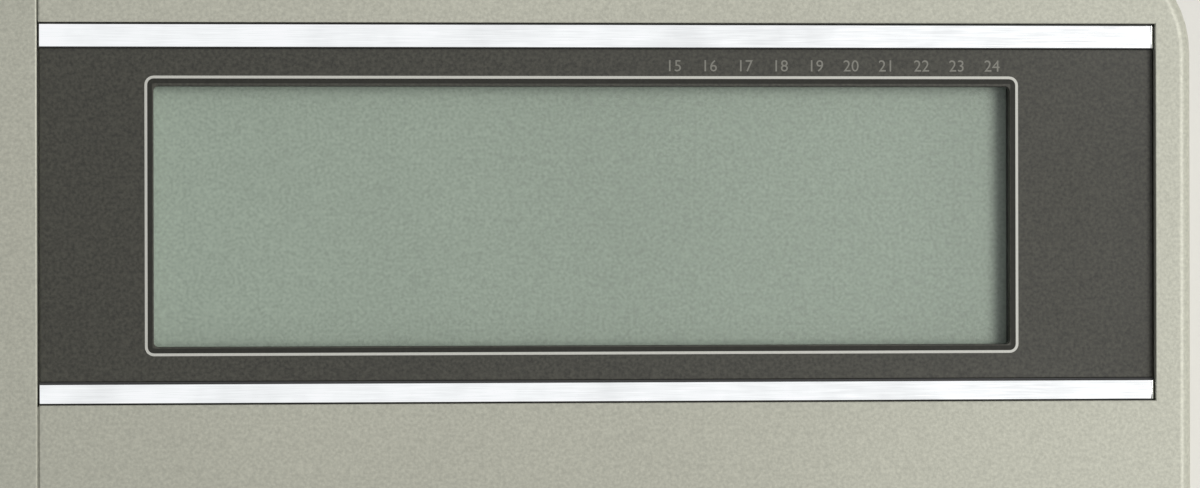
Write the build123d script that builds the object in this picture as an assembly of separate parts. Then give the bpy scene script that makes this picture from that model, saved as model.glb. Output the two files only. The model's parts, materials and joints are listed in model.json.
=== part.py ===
"""A pocket computer of the mid 1980s: a wedge-shaped case with a wide liquid crystal display between two bright
trim strips at the right, a four-pen plotter under a hinged lid at the left, and a keyboard in front.

Most pieces are drawn in the deck frame: X to the right, V rearwards along the sloping top surface, W square to
it, with W = 0 on the surface itself. place() then tilts and lifts them into the part's own frame, which has +Z up
and its origin under the middle of the case, on the surface that the feet stand on. All sizes are millimetres.
"""

import math
import os

from build123d import *

# The case
CASE_WIDTH = 210.4
CASE_LENGTH = 148.8  # along the sloping deck
CORNER_RADIUS = 11.0
DECK_TILT = 6.0  # degrees
DECK_HEIGHT = 27.0  # of the deck above the table, half-way back
WALL = 2.2
EDGE_ROUND = 1.3
PARTING = -11.0  # W of the joint between upper and lower case
SIDE_TAPER = 6.0  # degrees that the lower case draws in
FOOT_HEIGHT = 1.6
FLOOR_THICKNESS = 2.0

SLOPE = math.radians(DECK_TILT)
HALF_WIDTH = CASE_WIDTH / 2
HALF_LENGTH = CASE_LENGTH / 2
# The rear edge at the parting line reaches further back than the rounded front edge reaches forward.
REAR_REACH = HALF_LENGTH * math.cos(SLOPE) - PARTING * math.sin(SLOPE)
FRONT_REACH = (HALF_LENGTH - EDGE_ROUND) * math.cos(SLOPE) - EDGE_ROUND * math.sin(SLOPE) + EDGE_ROUND
Y_SHIFT = (FRONT_REACH - REAR_REACH) / 2

# The lid and the bay under it
SEAM_X = -10.35  # the line where the lid meets the display section
BAY_LEFT = -97.2
BAY_FRONT = 8.0
BAY_REAR = 71.8
LID_GAP = 0.12
LID_THICKNESS = 2.2
LEDGE_DEPTH = 2.4  # W of the ledge that the closed lid rests on
HINGE_V = 69.8
HINGE_W = -1.6
HINGE_RADIUS = 1.6
PIN_RADIUS = 0.8
PIN_BORE = 0.86
SLOT_V = 33.4
SLOT_WIDTH = 2.4

# The display section
RECESS_RIGHT = 101.5
RECESS_FRONT = 28.35
RECESS_REAR = 66.25
RECESS_DEPTH = 2.1
UPPER_STRIP = 2.1  # width of the bar behind the display
LOWER_STRIP = 1.85  # width of the bar in front of it
STRIP_GAP = 0.22
STRIP_HEIGHT = 1.9
FASCIA_THICKNESS = 1.1
WINDOW_CENTRE = (43.9, 47.0)
WINDOW_SIZE = (85.8, 25.9)
CELL_SIZE = (90.0, 30.0)
CELL_THICKNESS = 1.7
LENS_THICKNESS = 1.0
CELL_BOARD_TOP = -6.3
BOARD_THICKNESS = 1.6

# The keyboard
KEY_PITCH = 13.1
KEY_WIDTH = 10.6
KEY_DEPTH = 10.0
KEY_TRAVEL = 1.6
KEY_RISE = 2.8  # of the keytop above the deck
KEY_TAPER = 16.0
KEY_SHOULDER = 0.2
DISH_RADIUS = 15.0
DISH_DEPTH = 0.45
HOLE_GAP = 0.35
FLANGE_TOP = -2.4
FLANGE_THICKNESS = 0.8
FLANGE_LIP = 0.7
STEM_SIDE = 3.2
STEM_BOTTOM = -4.7
DOME_TOP = -4.8
SHEET_TOP = -5.9
SHEET_BOTTOM = -6.6
FIRST_COLUMN = -93.6
FIRST_ROW = -4.0
KEYPAD_COLUMN = FIRST_COLUMN + 11 * KEY_PITCH + 3.6
PANEL_SIZE = (202.0, 67.8)
PANEL_CENTRE_V = -30.7
PANEL_TOP = -0.4
PANEL_THICKNESS = 1.5
PANEL_LEDGE = 1.1
FUNCTION_KEY = (11.4, 6.0)
FUNCTION_ROW = 13.6
FUNCTION_FIRST = 7.5
FUNCTION_PITCH = 14.8
FUNCTION_COUNT = 5
SWITCH_CENTRE = (93.0, 13.6)
SWITCH_TRAVEL = 4.0

# The plotter
PLATE_LEFT = -87.2
PLATE_RIGHT = -24.0
PLATE_THICKNESS = 1.0
BASE_TOP = -22.3
BASE_THICKNESS = 1.2
PAPER_WIDTH = 58.0
PAPER_THICKNESS = 0.12
PLOTTER_X = (PLATE_LEFT + PLATE_RIGHT) / 2
DRUM_V = 34.0
DRUM_W = -12.5
DRUM_RADIUS = 6.0
DRUM_SHAFT = 1.5
PAPER_RADIUS = DRUM_RADIUS + 0.16
ENTRY_ANGLE = -60.0
EXIT_ANGLE = 150.0
ROLL_V = 61.0
ROLL_W = -15.0
ROLL_RADIUS = 9.4
ROLL_CORE = 3.0
GEAR_MODULE = 0.5
DRUM_TEETH = 36
PINION_TEETH = 12
GEAR_LEFT = -90.2
GEAR_FACE = 2.4
MOTOR_ANGLE = 10.6  # degrees above the deck direction, from the drum's axis
RUNNING_GAP = 0.06
ROD_V = 12.0
ROD_RADIUS = 1.2
ROD_LEVELS = (-18.8, -9.2)
CARRIAGE_HOME = -78.2
CARRIAGE_WIDTH = 13.6
CARRIAGE_TRAVEL = 45.5
TURRET_W = -15.5
PEN_CIRCLE = 3.0
PEN_RADIUS = 1.3
PEN_BARREL_END = 24.2
PEN_TIP_V = 26.9
PULLEY_W = -14.0
PULLEY_RADIUS = 3.2
BELT_THICKNESS = 0.5
PULLEY_LEFT = -85.0
PULLEY_RIGHT = -25.0

# Fasteners, cells and sockets
SCREW_PLACES = ((-94.0, -67.9), (94.0, -67.9), (-97.6, 6.0), (-7.0, 66.0), (95.6, 66.0))
POST_SIDE = 5.0
SCREW_RADIUS = 1.2
CELL_RADIUS = 7.1
CELL_LENGTH = 50.0
CELL_ROWS = (38.4, 53.2)
CELL_LEVEL = FOOT_HEIGHT + FLOOR_THICKNESS + CELL_RADIUS + 0.1
BAY_START = -2.6  # X of the cell compartment's ends, inside
BAY_END = 100.6
CELL_START = -1.3
RIB = 1.2
DOOR_LEFT = 0.0
DOOR_FRONT = 30.6
DOOR_REAR = 61.0
DOOR_THICKNESS = 1.6
REAR_WALL = REAR_REACH + Y_SHIFT  # Y of the rear wall, which the taper leaves upright
SOCKET_Z = 13.0
JACK_X = 84.0
JACK_NOSE = 3.0
JACK_BORE = 1.8
JACK_DEPTH = 9.0
PORT_X = 40.0
PORT_SIZE = (32.0, 8.0)

# Inner boards and small controls
BOARD_LEVEL = -14.6  # W of the main board's underside
KNOB_WIDTH = 6.0
DIAL_X = 98.9
DIAL_V = 47.0
DIAL_RADIUS = 5.8
DIAL_BORE = 1.5
DIAL_TOP = -3.8


def place(part):
    """Carries a piece from the deck frame into the part's own frame."""
    return Pos(0, Y_SHIFT, DECK_HEIGHT) * Rot(DECK_TILT, 0, 0) * part


def block(x0, x1, v0, v1, w0, w1):
    """A box between two corners."""
    return Pos((x0 + x1) / 2, (v0 + v1) / 2, (w0 + w1) / 2) * Box(x1 - x0, v1 - v0, w1 - w0)


def round_x(x0, x1, v, w, radius):
    """A cylinder along X."""
    return Pos((x0 + x1) / 2, v, w) * Rot(0, 90, 0) * Cylinder(radius, x1 - x0)


def round_v(v0, v1, x, w, radius):
    """A cylinder along V."""
    return Pos(x, (v0 + v1) / 2, w) * Rot(90, 0, 0) * Cylinder(radius, v1 - v0)


def round_w(w0, w1, x, v, radius):
    """A cylinder square to the deck."""
    return Pos(x, v, (w0 + w1) / 2) * Cylinder(radius, w1 - w0)


def slab(width, length, corner, w0, w1, x=0.0, v=0.0):
    """A plate with rounded corners between two levels."""
    return Pos(x, v, w0) * extrude(RectangleRounded(width, length, corner), w1 - w0)


def tapered_slab(inset, taper):
    """The case outline below the parting line, drawn in towards the bottom."""
    outline = RectangleRounded(CASE_WIDTH - 2 * inset, CASE_LENGTH - 2 * inset, CORNER_RADIUS - inset)
    return Pos(0, 0, PARTING) * extrude(outline, 36, dir=(0, 0, -1), taper=taper)


def above(level):
    """The half space over a level of the part's own frame, as a large box."""
    return Pos(0, 0, level + 50) * Box(300, 300, 100)


# Case


def boss_bottom_places():
    """Each screw's place with the W at which its axis meets the underside of the case."""
    for x, v in SCREW_PLACES:
        level = (FOOT_HEIGHT - DECK_HEIGHT - v * math.sin(SLOPE)) / math.cos(SLOPE)
        yield x, v, level


def screw_post(x, v, w0, w1, wider=0.0):
    """A square post for a screw, square to the deck."""
    half = (POST_SIDE + wider) / 2
    return block(x - half, x + half, v - half, v + half, w0, w1)


def lower_case():
    """The bottom shell: tapered walls, a level floor, screw bosses, the cell compartment and the sockets' openings."""
    outer = place(tapered_slab(0, SIDE_TAPER)) & above(FOOT_HEIGHT)
    inner = place(tapered_slab(WALL, SIDE_TAPER)) & above(FOOT_HEIGHT + FLOOR_THICKNESS)
    shell = outer - inner
    ring = slab(CASE_WIDTH - 4.6, CASE_LENGTH - 4.6, CORNER_RADIUS - 2.3, PARTING - 3, PARTING + 1.4)
    lip = ring - slab(CASE_WIDTH - 6.8, CASE_LENGTH - 6.8, CORNER_RADIUS - 3.4, PARTING - 4, PARTING + 2)
    for x, v in SCREW_PLACES:
        lip -= screw_post(x, v, PARTING - 4, PARTING + 2, 0.6)
    shell += place(lip)
    for x, v, bottom in boss_bottom_places():
        shell += place(screw_post(x, v, bottom - 2, PARTING, 1.4)) & outer
    floor_top = FOOT_HEIGHT + FLOOR_THICKNESS
    compartment = block(BAY_START - RIB, BAY_END + 3, DOOR_FRONT - RIB, DOOR_REAR + RIB, floor_top - 1, 15)
    compartment -= block(BAY_START, BAY_END, DOOR_FRONT, DOOR_REAR, 0, 16)
    shell += compartment & outer
    for x in (-75.0, -30.0, 30.0, 75.0):
        shell += place(block(x, x + RIB, -57, -13, -32, BOARD_LEVEL - 0.05)) & outer
    for x in (-83.0, -28.0):
        for v in (14.0, 42.0):
            shell += place(screw_post(x, v, -40, BASE_TOP - BASE_THICKNESS)) & outer
    for x, v, bottom in boss_bottom_places():
        shell -= place(round_w(bottom - 3, PARTING, x, v, SCREW_RADIUS + 0.15))
        shell -= place(round_w(bottom - 3, bottom + 2.6, x, v, 2.7))
    shell -= block(DOOR_LEFT, 120, DOOR_FRONT, DOOR_REAR, 0, FOOT_HEIGHT + DOOR_THICKNESS + 0.2)
    shell -= Pos(JACK_X, HALF_LENGTH, SOCKET_Z) * Rot(90, 0, 0) * Cylinder(JACK_NOSE + 0.2, 12)
    shell -= Pos(PORT_X, HALF_LENGTH, SOCKET_Z) * Box(PORT_SIZE[0] + 0.4, 12, PORT_SIZE[1] + 0.4)
    return shell


def upper_case():
    """The top shell: the display recess, the bay under the lid, the rebate for the key panel and the screw bosses."""
    body = slab(CASE_WIDTH, CASE_LENGTH, CORNER_RADIUS, PARTING, 0)
    body = fillet(body.faces().sort_by(Axis.Z)[-1].edges(), EDGE_ROUND)
    inner = CASE_WIDTH - 2 * WALL, CASE_LENGTH - 2 * WALL, CORNER_RADIUS - WALL
    body -= slab(*inner, PARTING - 1, -WALL)
    side = HALF_WIDTH - WALL + 0.2
    panel_front = PANEL_CENTRE_V - PANEL_SIZE[1] / 2
    panel_rear = PANEL_CENTRE_V + PANEL_SIZE[1] / 2
    ledges = block(SEAM_X - 1.8, side, 26.6, 67.7, -3.4, -WALL)
    ledges += block(-side, side, panel_front - 1.5, panel_rear + 1.4, -3.4, -WALL)
    ledges += block(-side, SEAM_X + 2, panel_rear, BAY_FRONT + 1.6, -4.0, -WALL)
    ledges += block(-side, BAY_LEFT + 1.4, BAY_FRONT, BAY_REAR + 1, -4.0, -WALL)
    ledges += block(SEAM_X - 1.8, SEAM_X + 2, BAY_FRONT, BAY_REAR + 1, -4.0, -WALL)
    ledges += block(SEAM_X - 0.8, SEAM_X + 0.6, BAY_FRONT + 1.6, 62.0, -16, -3.5)
    ledges += block(BAY_LEFT - 2, BAY_LEFT, HINGE_V - 2.3, BAY_REAR + 1, -4.4, -WALL)
    ledges += block(SEAM_X, SEAM_X + 4.5, HINGE_V - 2.3, BAY_REAR + 1, -4.4, -WALL)
    ledges &= slab(inner[0] + 0.4, inner[1] + 0.4, inner[2] + 0.2, -17, 0)
    body += ledges
    body += round_w(-6.2, -WALL, DIAL_X, DIAL_V, DIAL_BORE - RUNNING_GAP)
    for x, v in SCREW_PLACES:
        body += screw_post(x, v, PARTING, -WALL)
    body -= block(BAY_LEFT, SEAM_X, BAY_FRONT, BAY_REAR, -LEDGE_DEPTH, 1)
    body -= block(BAY_LEFT, SEAM_X, HINGE_V - 2.4, BAY_REAR, -5, 1)
    body -= block(SEAM_X - 1, RECESS_RIGHT, RECESS_FRONT, RECESS_REAR, -RECESS_DEPTH, 1)
    x, v = WINDOW_CENTRE
    body -= slab(CELL_SIZE[0] + 0.4, CELL_SIZE[1] + 0.4, 0.6, -4, 0, x, v)
    body -= slab(*PANEL_SIZE, 2.0, PANEL_TOP - PANEL_THICKNESS, 1, 0, PANEL_CENTRE_V)
    ledge = 2 * PANEL_LEDGE
    body -= slab(PANEL_SIZE[0] - ledge, PANEL_SIZE[1] - ledge, 1.0, -4.5, 0, 0, PANEL_CENTRE_V)
    for x, v, width, depth in function_keys_layout():
        body -= Pos(x, v, 0) * Box(width + 2 * HOLE_GAP, depth + 2 * HOLE_GAP, 8)
    x, v = SWITCH_CENTRE
    body -= Pos(x, v, 0) * Box(KNOB_WIDTH + 0.4 + SWITCH_TRAVEL, 4.4, 8)
    for x, v in SCREW_PLACES:
        body -= round_w(PARTING - 2, -4.6, x, v, SCREW_RADIUS + 0.04)
    pin = HINGE_V, HINGE_W, PIN_BORE
    body -= round_x(BAY_LEFT - 2.6, BAY_LEFT + 0.5, *pin)
    body -= round_x(SEAM_X - 0.5, SEAM_X + 2.6, *pin)
    body -= block(HALF_WIDTH - 1.4, HALF_WIDTH + 1, DIAL_V - 9, DIAL_V + 9, -8.0, -3.0)
    body -= block(HALF_WIDTH - 4, HALF_WIDTH + 1, DIAL_V - 5.2, DIAL_V + 5.2, DIAL_TOP - 2.5, DIAL_TOP + 0.4)
    body -= round_x(PLOTTER_X - 9, PLOTTER_X + 9, 6.0, 3.2, 4.2)
    return body


def trim_strip(front, width):
    """One bright bar beside the display, with its upper edges and its ends rounded."""
    length = RECESS_RIGHT - 0.3 - (SEAM_X + 0.1)
    bar = Box(length, width, STRIP_HEIGHT)
    bar = fillet(bar.edges().filter_by(Axis.Z), 0.35)
    bar = fillet(bar.faces().sort_by(Axis.Z)[-1].edges(), 0.3)
    return Pos(SEAM_X + 0.1 + length / 2, front + width / 2, -RECESS_DEPTH + STRIP_HEIGHT / 2) * bar


def display_fascia():
    """The dark panel between the strips, with the window that shows the cell."""
    left, right = SEAM_X + 0.1, RECESS_RIGHT - 0.1
    front = RECESS_FRONT + LOWER_STRIP + 2 * STRIP_GAP
    rear = RECESS_REAR - UPPER_STRIP - 2 * STRIP_GAP
    panel = block(left, right, front, rear, -RECESS_DEPTH, -RECESS_DEPTH + FASCIA_THICKNESS)
    x, v = WINDOW_CENTRE
    return panel - slab(*WINDOW_SIZE, 0.5, -RECESS_DEPTH - 1, 0, x, v)


def display_lens():
    """The clear sheet under the window."""
    x, v = WINDOW_CENTRE
    top = -RECESS_DEPTH - 0.05
    return slab(*CELL_SIZE, 0.5, top - LENS_THICKNESS, top, x, v)


def cell_top():
    """W of the cell's upper face, close under the lens."""
    return -RECESS_DEPTH - LENS_THICKNESS - 0.15


def liquid_crystal_cell():
    """Two bonded glass plates, the rear one longer at the front where the contacts are."""
    x, v = WINDOW_CENTRE
    top = cell_top()
    front_plate = Pos(x, v + 0.6, top - CELL_THICKNESS / 4) * Box(CELL_SIZE[0], CELL_SIZE[1] - 1.2, CELL_THICKNESS / 2)
    rear_plate = Pos(x, v, top - CELL_THICKNESS * 3 / 4) * Box(*CELL_SIZE, CELL_THICKNESS / 2)
    return front_plate + rear_plate


def display_frame():
    """The pressed frame that holds the cell against the case, with six tabs through the board."""
    x, v = WINDOW_CENTRE
    outer = slab(CELL_SIZE[0] + 5, CELL_SIZE[1] + 5, 0.8, -6.2, -3.45, x, v)
    frame = outer - slab(CELL_SIZE[0] + 0.5, CELL_SIZE[1] + 0.5, 0.5, -7, -3, x, v)
    for side in (-1, 1):
        for step in (-1, 0, 1):
            tab_v = v + side * (CELL_SIZE[1] / 2 + 1.6)
            frame += Pos(x + step * 38, tab_v, -6.9) * Box(3, 0.5, 2.2)
    return frame


def display_board():
    """The printed circuit under the cell, slotted for the frame's tabs, with a tongue under the contrast dial."""
    x, v = WINDOW_CENTRE
    bottom = CELL_BOARD_TOP - 1.2
    board = slab(CELL_SIZE[0] + 6, CELL_SIZE[1] + 6.4, 1.0, bottom, CELL_BOARD_TOP, x, v)
    board += block(x + CELL_SIZE[0] / 2, 102, DIAL_V - 6, DIAL_V + 6, bottom, CELL_BOARD_TOP)
    for side in (-1, 1):
        for step in (-1, 0, 1):
            tab_v = v + side * (CELL_SIZE[1] / 2 + 1.6)
            board -= Pos(x + step * 38, tab_v, -7) * Box(3.3, 0.8, 3)
    return board


def contact_strips():
    """The two rubber strips that connect the cell to its board."""
    x, v = WINDOW_CENTRE
    low, high = CELL_BOARD_TOP + 0.08, cell_top() - CELL_THICKNESS - 0.08
    half = CELL_SIZE[0] / 2 - 3
    return [block(x - half, x + half, v + side * 12.6 - 0.9, v + side * 12.6 + 0.9, low, high) for side in (-1, 1)]


def driver_chips():
    """The flat packages under the display board."""
    x, v = WINDOW_CENTRE
    return [flat_package(x + step * 21, v - 2, -7.55, 14, 12, -1) for step in (-1.5, -0.5, 0.5, 1.5)]


def flat_package(x, v, board_face, width, length, side):
    """One chip with its legs spread on two sides, on the upper (1) or lower (-1) face of a board."""
    body = Pos(x, v, board_face + side * 1.1) * Box(width, length, 1.6)
    legs = Pos(x, v, board_face + side * 0.2) * Box(width - 1, length + 2.4, 0.3)
    return body + legs + Pos(x, v, board_face + side * 0.3) * Box(width - 2, length - 2, 0.4)


# Keyboard


def row_keys(row, columns, first=FIRST_COLUMN):
    """Single-width keys of one row, as (x, v, width, depth)."""
    v = FIRST_ROW - row * KEY_PITCH
    return [(first + column * KEY_PITCH, v, KEY_WIDTH, KEY_DEPTH) for column in columns]


def wide_key(row, first, last):
    """One key that spans several columns of a row."""
    width = KEY_WIDTH + (last - first) * KEY_PITCH
    return FIRST_COLUMN + (first + last) / 2 * KEY_PITCH, FIRST_ROW - row * KEY_PITCH, width, KEY_DEPTH


def tall_key(row, x):
    """One key that spans two rows."""
    return x, FIRST_ROW - (row + 0.5) * KEY_PITCH, KEY_WIDTH, KEY_DEPTH + KEY_PITCH


def function_keys_layout():
    """The small keys in front of the display."""
    columns = range(FUNCTION_COUNT)
    return [(FUNCTION_FIRST + i * FUNCTION_PITCH, FUNCTION_ROW, *FUNCTION_KEY) for i in columns]


def keyboard_layout():
    """Every bank of keys, by node name."""
    keypad_digits = []
    for row in (1, 2, 3):
        keypad_digits += row_keys(row, range(3), KEYPAD_COLUMN)
    keypad_digits += row_keys(4, (0, 1, 2), KEYPAD_COLUMN)
    operators = row_keys(0, range(4), KEYPAD_COLUMN)
    operators += row_keys(1, (3,), KEYPAD_COLUMN) + row_keys(2, (3,), KEYPAD_COLUMN)
    operators.append(tall_key(3, KEYPAD_COLUMN + 3 * KEY_PITCH))
    return {
        "function_keys": function_keys_layout(),
        "number_keys": row_keys(0, range(11)),
        "upper_letter_keys": row_keys(1, range(11)),
        "home_letter_keys": row_keys(2, range(10)),
        "lower_letter_keys": row_keys(3, range(10)),
        "shift_keys": row_keys(4, range(3)),
        "space_bar": [wide_key(4, 3, 6)],
        "cursor_keys": row_keys(4, range(7, 11)),
        "enter_key": [tall_key(2, FIRST_COLUMN + 10 * KEY_PITCH)],
        "keypad_digit_keys": keypad_digits,
        "keypad_operator_keys": operators,
    }


def keytop(x, v, width, depth):
    """One key: a dished, tapered top on a straight skirt, a flange that the panel holds down, and a stem."""
    flange_bottom = FLANGE_TOP - FLANGE_THICKNESS
    skirt = block(-width / 2, width / 2, -depth / 2, depth / 2, flange_bottom, KEY_SHOULDER)
    top = Pos(0, 0, KEY_SHOULDER) * extrude(Rectangle(width, depth), KEY_RISE - KEY_SHOULDER, taper=KEY_TAPER)
    half_width, half_depth = width / 2 + FLANGE_LIP, depth / 2 + FLANGE_LIP
    key = skirt + top + block(-half_width, half_width, -half_depth, half_depth, flange_bottom, FLANGE_TOP)
    for offset in stem_offsets(width, depth):
        key += Pos(*offset, (STEM_BOTTOM + FLANGE_TOP) / 2) * Box(STEM_SIDE, STEM_SIDE, FLANGE_TOP - STEM_BOTTOM)
    if width < 2 * KEY_WIDTH:
        level = KEY_RISE - DISH_DEPTH + DISH_RADIUS
        key -= round_v(-depth, depth, 0, level, DISH_RADIUS)
    return Pos(x, v, 0) * key


def stem_offsets(width, depth):
    """Where a key's stems stand: one in the middle, or two on a wide or tall key."""
    if width > 2 * KEY_WIDTH:
        return [(-width / 4, 0), (width / 4, 0)]
    if depth > 2 * KEY_DEPTH:
        return [(0, -depth / 4), (0, depth / 4)]
    return [(0, 0)]


def key_bank(keys):
    """All keys of one bank, as separate solids."""
    return [keytop(*key) for key in keys]


def key_panel():
    """The plate over the keyboard, with a hole for each key."""
    outline = Pos(0, PANEL_CENTRE_V) * RectangleRounded(PANEL_SIZE[0] - 0.2, PANEL_SIZE[1] - 0.2, 1.9)
    for name, keys in keyboard_layout().items():
        if name == "function_keys":
            continue
        for x, v, width, depth in keys:
            outline -= Pos(x, v) * Rectangle(width + 2 * HOLE_GAP, depth + 2 * HOLE_GAP)
    return Pos(0, 0, PANEL_TOP - PANEL_THICKNESS) * extrude(outline, PANEL_THICKNESS)


def board_outline(inset=0.0):
    """The keyboard's circuit: under the keys, and on under the function keys at the right."""
    keys_area = Pos(0, -30.6) * Rectangle(199 - 2 * inset, 65 - 2 * inset)
    right_area = Pos(46.5, 8) * Rectangle(105 - 2 * inset, 26 - 2 * inset)
    return keys_area + right_area


def dome_sheet():
    """The rubber sheet with one square dome under each stem."""
    sheet = Pos(0, 0, SHEET_BOTTOM) * extrude(board_outline(1.0), SHEET_TOP - SHEET_BOTTOM)
    domes = []
    for keys in keyboard_layout().values():
        for x, v, width, depth in keys:
            for dx, dv in stem_offsets(width, depth):
                dome = extrude(Rectangle(6.0, min(6.0, depth - 0.6)), DOME_TOP - SHEET_TOP, taper=45)
                domes.append(Pos(x + dx, v + dv, SHEET_TOP) * dome)
    return sheet.fuse(*domes)


def key_board():
    """The keyboard's printed circuit."""
    return Pos(0, 0, SHEET_BOTTOM - BOARD_THICKNESS) * extrude(board_outline(), BOARD_THICKNESS)


def power_switch():
    """The ribbed slide knob in its slot, on the blade that works the switch."""
    x, v = SWITCH_CENTRE
    x -= SWITCH_TRAVEL / 2
    knob = Pos(x, v, -0.7) * Box(KNOB_WIDTH, 4.0, 3.6)
    for rib in (-2, -1, 0, 1, 2):
        knob -= Pos(x + rib, v, 1.2) * Rot(0, 45, 0) * Box(0.5, 5, 0.5)
    blade = Pos(x, v, -2.9) * Box(KNOB_WIDTH + 3, 6.4, 0.8)
    return knob + blade


def contrast_dial():
    """The thumbwheel for the display's contrast, notched round its rim."""
    wheel = round_w(DIAL_TOP - 2.1, DIAL_TOP, DIAL_X, DIAL_V, DIAL_RADIUS)
    notch = Pos(DIAL_RADIUS, 0, 0) * Rot(0, 0, 45) * Box(0.6, 0.6, 4)
    for step in range(20):
        wheel -= Pos(DIAL_X, DIAL_V, DIAL_TOP - 1) * Rot(0, 0, step * 18) * notch
    return wheel - round_w(-8, -3, DIAL_X, DIAL_V, DIAL_BORE)


# Lid


def printer_lid():
    """The lid over the plotter: a flush plate with a hinge bead, skirts, the window's seat and the paper slot."""
    left, right = BAY_LEFT + LID_GAP, SEAM_X - LID_GAP
    front = BAY_FRONT + LID_GAP
    plate = block(left, right, front, HINGE_V, -LID_THICKNESS, 0)
    plate = chamfer(plate.faces().sort_by(Axis.Y)[0].edges().filter_by(Axis.X).sort_by(Axis.Z)[-1], 0.3)
    lid = plate + round_x(left, right, HINGE_V, HINGE_W, HINGE_RADIUS)
    skirt_left, skirt_right = BAY_LEFT + 1.7, SEAM_X - 2.1
    for x0, x1 in ((skirt_left, skirt_left + 1.2), (skirt_right - 1.2, skirt_right)):
        lid += block(x0, x1, front + 2, HINGE_V - 4, -LID_THICKNESS - 1.6, -LID_THICKNESS)
    lid += block(skirt_left, skirt_right, front + 2, front + 3.2, -LID_THICKNESS - 1.6, -LID_THICKNESS)
    lid += block(skirt_left, skirt_right, 44.0, 45.2, -LID_THICKNESS - 1.2, -LID_THICKNESS)
    x, v, width, length = window_seat()
    lid -= slab(width - 2.4, length - 2.4, 0.8, -4, 1, x, v)
    lid -= slab(width, length, 1.6, -1.2, 1, x, v)
    lid -= block(PLOTTER_X - 31, PLOTTER_X + 31, SLOT_V - SLOT_WIDTH / 2, SLOT_V + SLOT_WIDTH / 2, -4, 1)
    lid -= block(PLOTTER_X - 31.2, PLOTTER_X + 31.2, SLOT_V + 0.4, SLOT_V + 4.2, -0.6, 1)
    for step in range(7):
        groove_v = HINGE_V - 17 + step * 2.0
        lid -= Pos(PLOTTER_X, groove_v, 0) * Rot(45, 0, 0) * Box(62.4, 0.7, 0.7)
    for x0, x1 in ((left, left + 3.2), (right - 3.2, right)):
        lid -= round_x(x0 - 0.01, x1 + 0.01, HINGE_V, HINGE_W, PIN_RADIUS)
    return lid


def window_seat():
    """The lid window's place and size: x, v, width and length."""
    return PLOTTER_X, 20.4, 66.0, 19.6


def lid_window():
    """The smoked plate through which the pens can be watched."""
    x, v, width, length = window_seat()
    return slab(width - 0.2, length - 0.2, 1.5, -1.2, -0.1, x, v)


def hinge_pins():
    """The two steel pins that the lid turns on."""
    left, right = BAY_LEFT + LID_GAP, SEAM_X - LID_GAP
    return [
        round_x(left - 2.4, left + 3.2, HINGE_V, HINGE_W, PIN_RADIUS),
        round_x(right - 3.2, right + 2.4, HINGE_V, HINGE_W, PIN_RADIUS),
    ]


def tear_bar():
    """The toothed steel edge behind the paper slot."""
    teeth = 31
    pitch = 62.0 / teeth
    front, rear = SLOT_V + 1.0, SLOT_V + 4.0
    points = [(PLOTTER_X - 31, rear), (PLOTTER_X - 31, front)]
    for tooth in range(teeth):
        x = PLOTTER_X - 31 + tooth * pitch
        points += [(x + pitch / 2, front - 0.9), (x + pitch, front)]
    points.append((PLOTTER_X + 31, rear))
    return Pos(0, 0, -0.6) * extrude(make_face(Polyline(*points, close=True)), 0.5)


# Plotter


def spur_gear(teeth, turn):
    """A spur gear blank along X, its first tooth turned by so many degrees from V towards W."""
    pitch_radius = teeth * GEAR_MODULE / 2
    tip, root = pitch_radius + 0.95 * GEAR_MODULE, pitch_radius - 1.2 * GEAR_MODULE
    half_at_pitch = math.pi * GEAR_MODULE / 4 - 0.07
    lean = math.tan(math.radians(20))
    points = []
    for tooth in range(teeth):
        middle = math.radians(turn) + 2 * math.pi * tooth / teeth
        for side, radius in ((-1, root), (-1, tip), (1, tip), (1, root)):
            half = (half_at_pitch - (radius - pitch_radius) * lean) / radius
            angle = middle + side * half
            points.append((radius * math.cos(angle), radius * math.sin(angle)))
    face = make_face(Polyline(*points, close=True))
    return Plane.YZ * extrude(face, GEAR_FACE)


def chassis():
    """The folded steel frame: a base, two side plates with the bearings, and the front plate for the belt drive."""
    plates = []
    for x in (PLATE_LEFT, PLATE_RIGHT - PLATE_THICKNESS):
        plates.append(side_plate(x))
    frame = plates[0] + plates[1]
    base_bottom = BASE_TOP - BASE_THICKNESS
    frame += block(PLATE_LEFT, PLATE_RIGHT, 5.6, 46, base_bottom, BASE_TOP)
    front = block(PLATE_LEFT - 4.6, PLATE_RIGHT + 5, 5.6, 6.6, base_bottom, -9.6)
    frame += front
    for x, v in ((-70.0, 30.0), (-41.0, 30.0), (-55.6, 16.0)):
        frame -= Pos(x, v, BASE_TOP) * Box(16, 7, 4)
    frame += round_v(6.6, 9.4, PULLEY_LEFT, PULLEY_W, 1.0)
    frame -= round_v(5, 7, PULLEY_RIGHT, PULLEY_W, 1.3)
    for v, w in motor_posts():
        frame += round_x(GEAR_LEFT - 0.6, PLATE_LEFT, v, w, 1.3)
    return frame


def side_plate(x):
    """One side plate with its bearings and the open notch for the roll's spindle."""
    outline = Pos(38, (BASE_TOP - BASE_THICKNESS - 5) / 2)
    height = -5 - (BASE_TOP - BASE_THICKNESS)
    face = outline * RectangleRounded(56, height, 2.2)
    face -= Pos(DRUM_V, DRUM_W) * Circle(DRUM_SHAFT + RUNNING_GAP)
    for level in ROD_LEVELS:
        face -= Pos(ROD_V, level) * Circle(ROD_RADIUS)
    face -= Pos(*roller_centre()) * Circle(1.0 + RUNNING_GAP)
    face -= Pos(ROLL_V, ROLL_W) * Circle(2.0)
    face -= Pos(ROLL_V, (ROLL_W - 4) / 2) * Rectangle(4.0, -4 - ROLL_W)
    return Pos(x, 0, 0) * (Plane.YZ * extrude(face, PLATE_THICKNESS))


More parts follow.
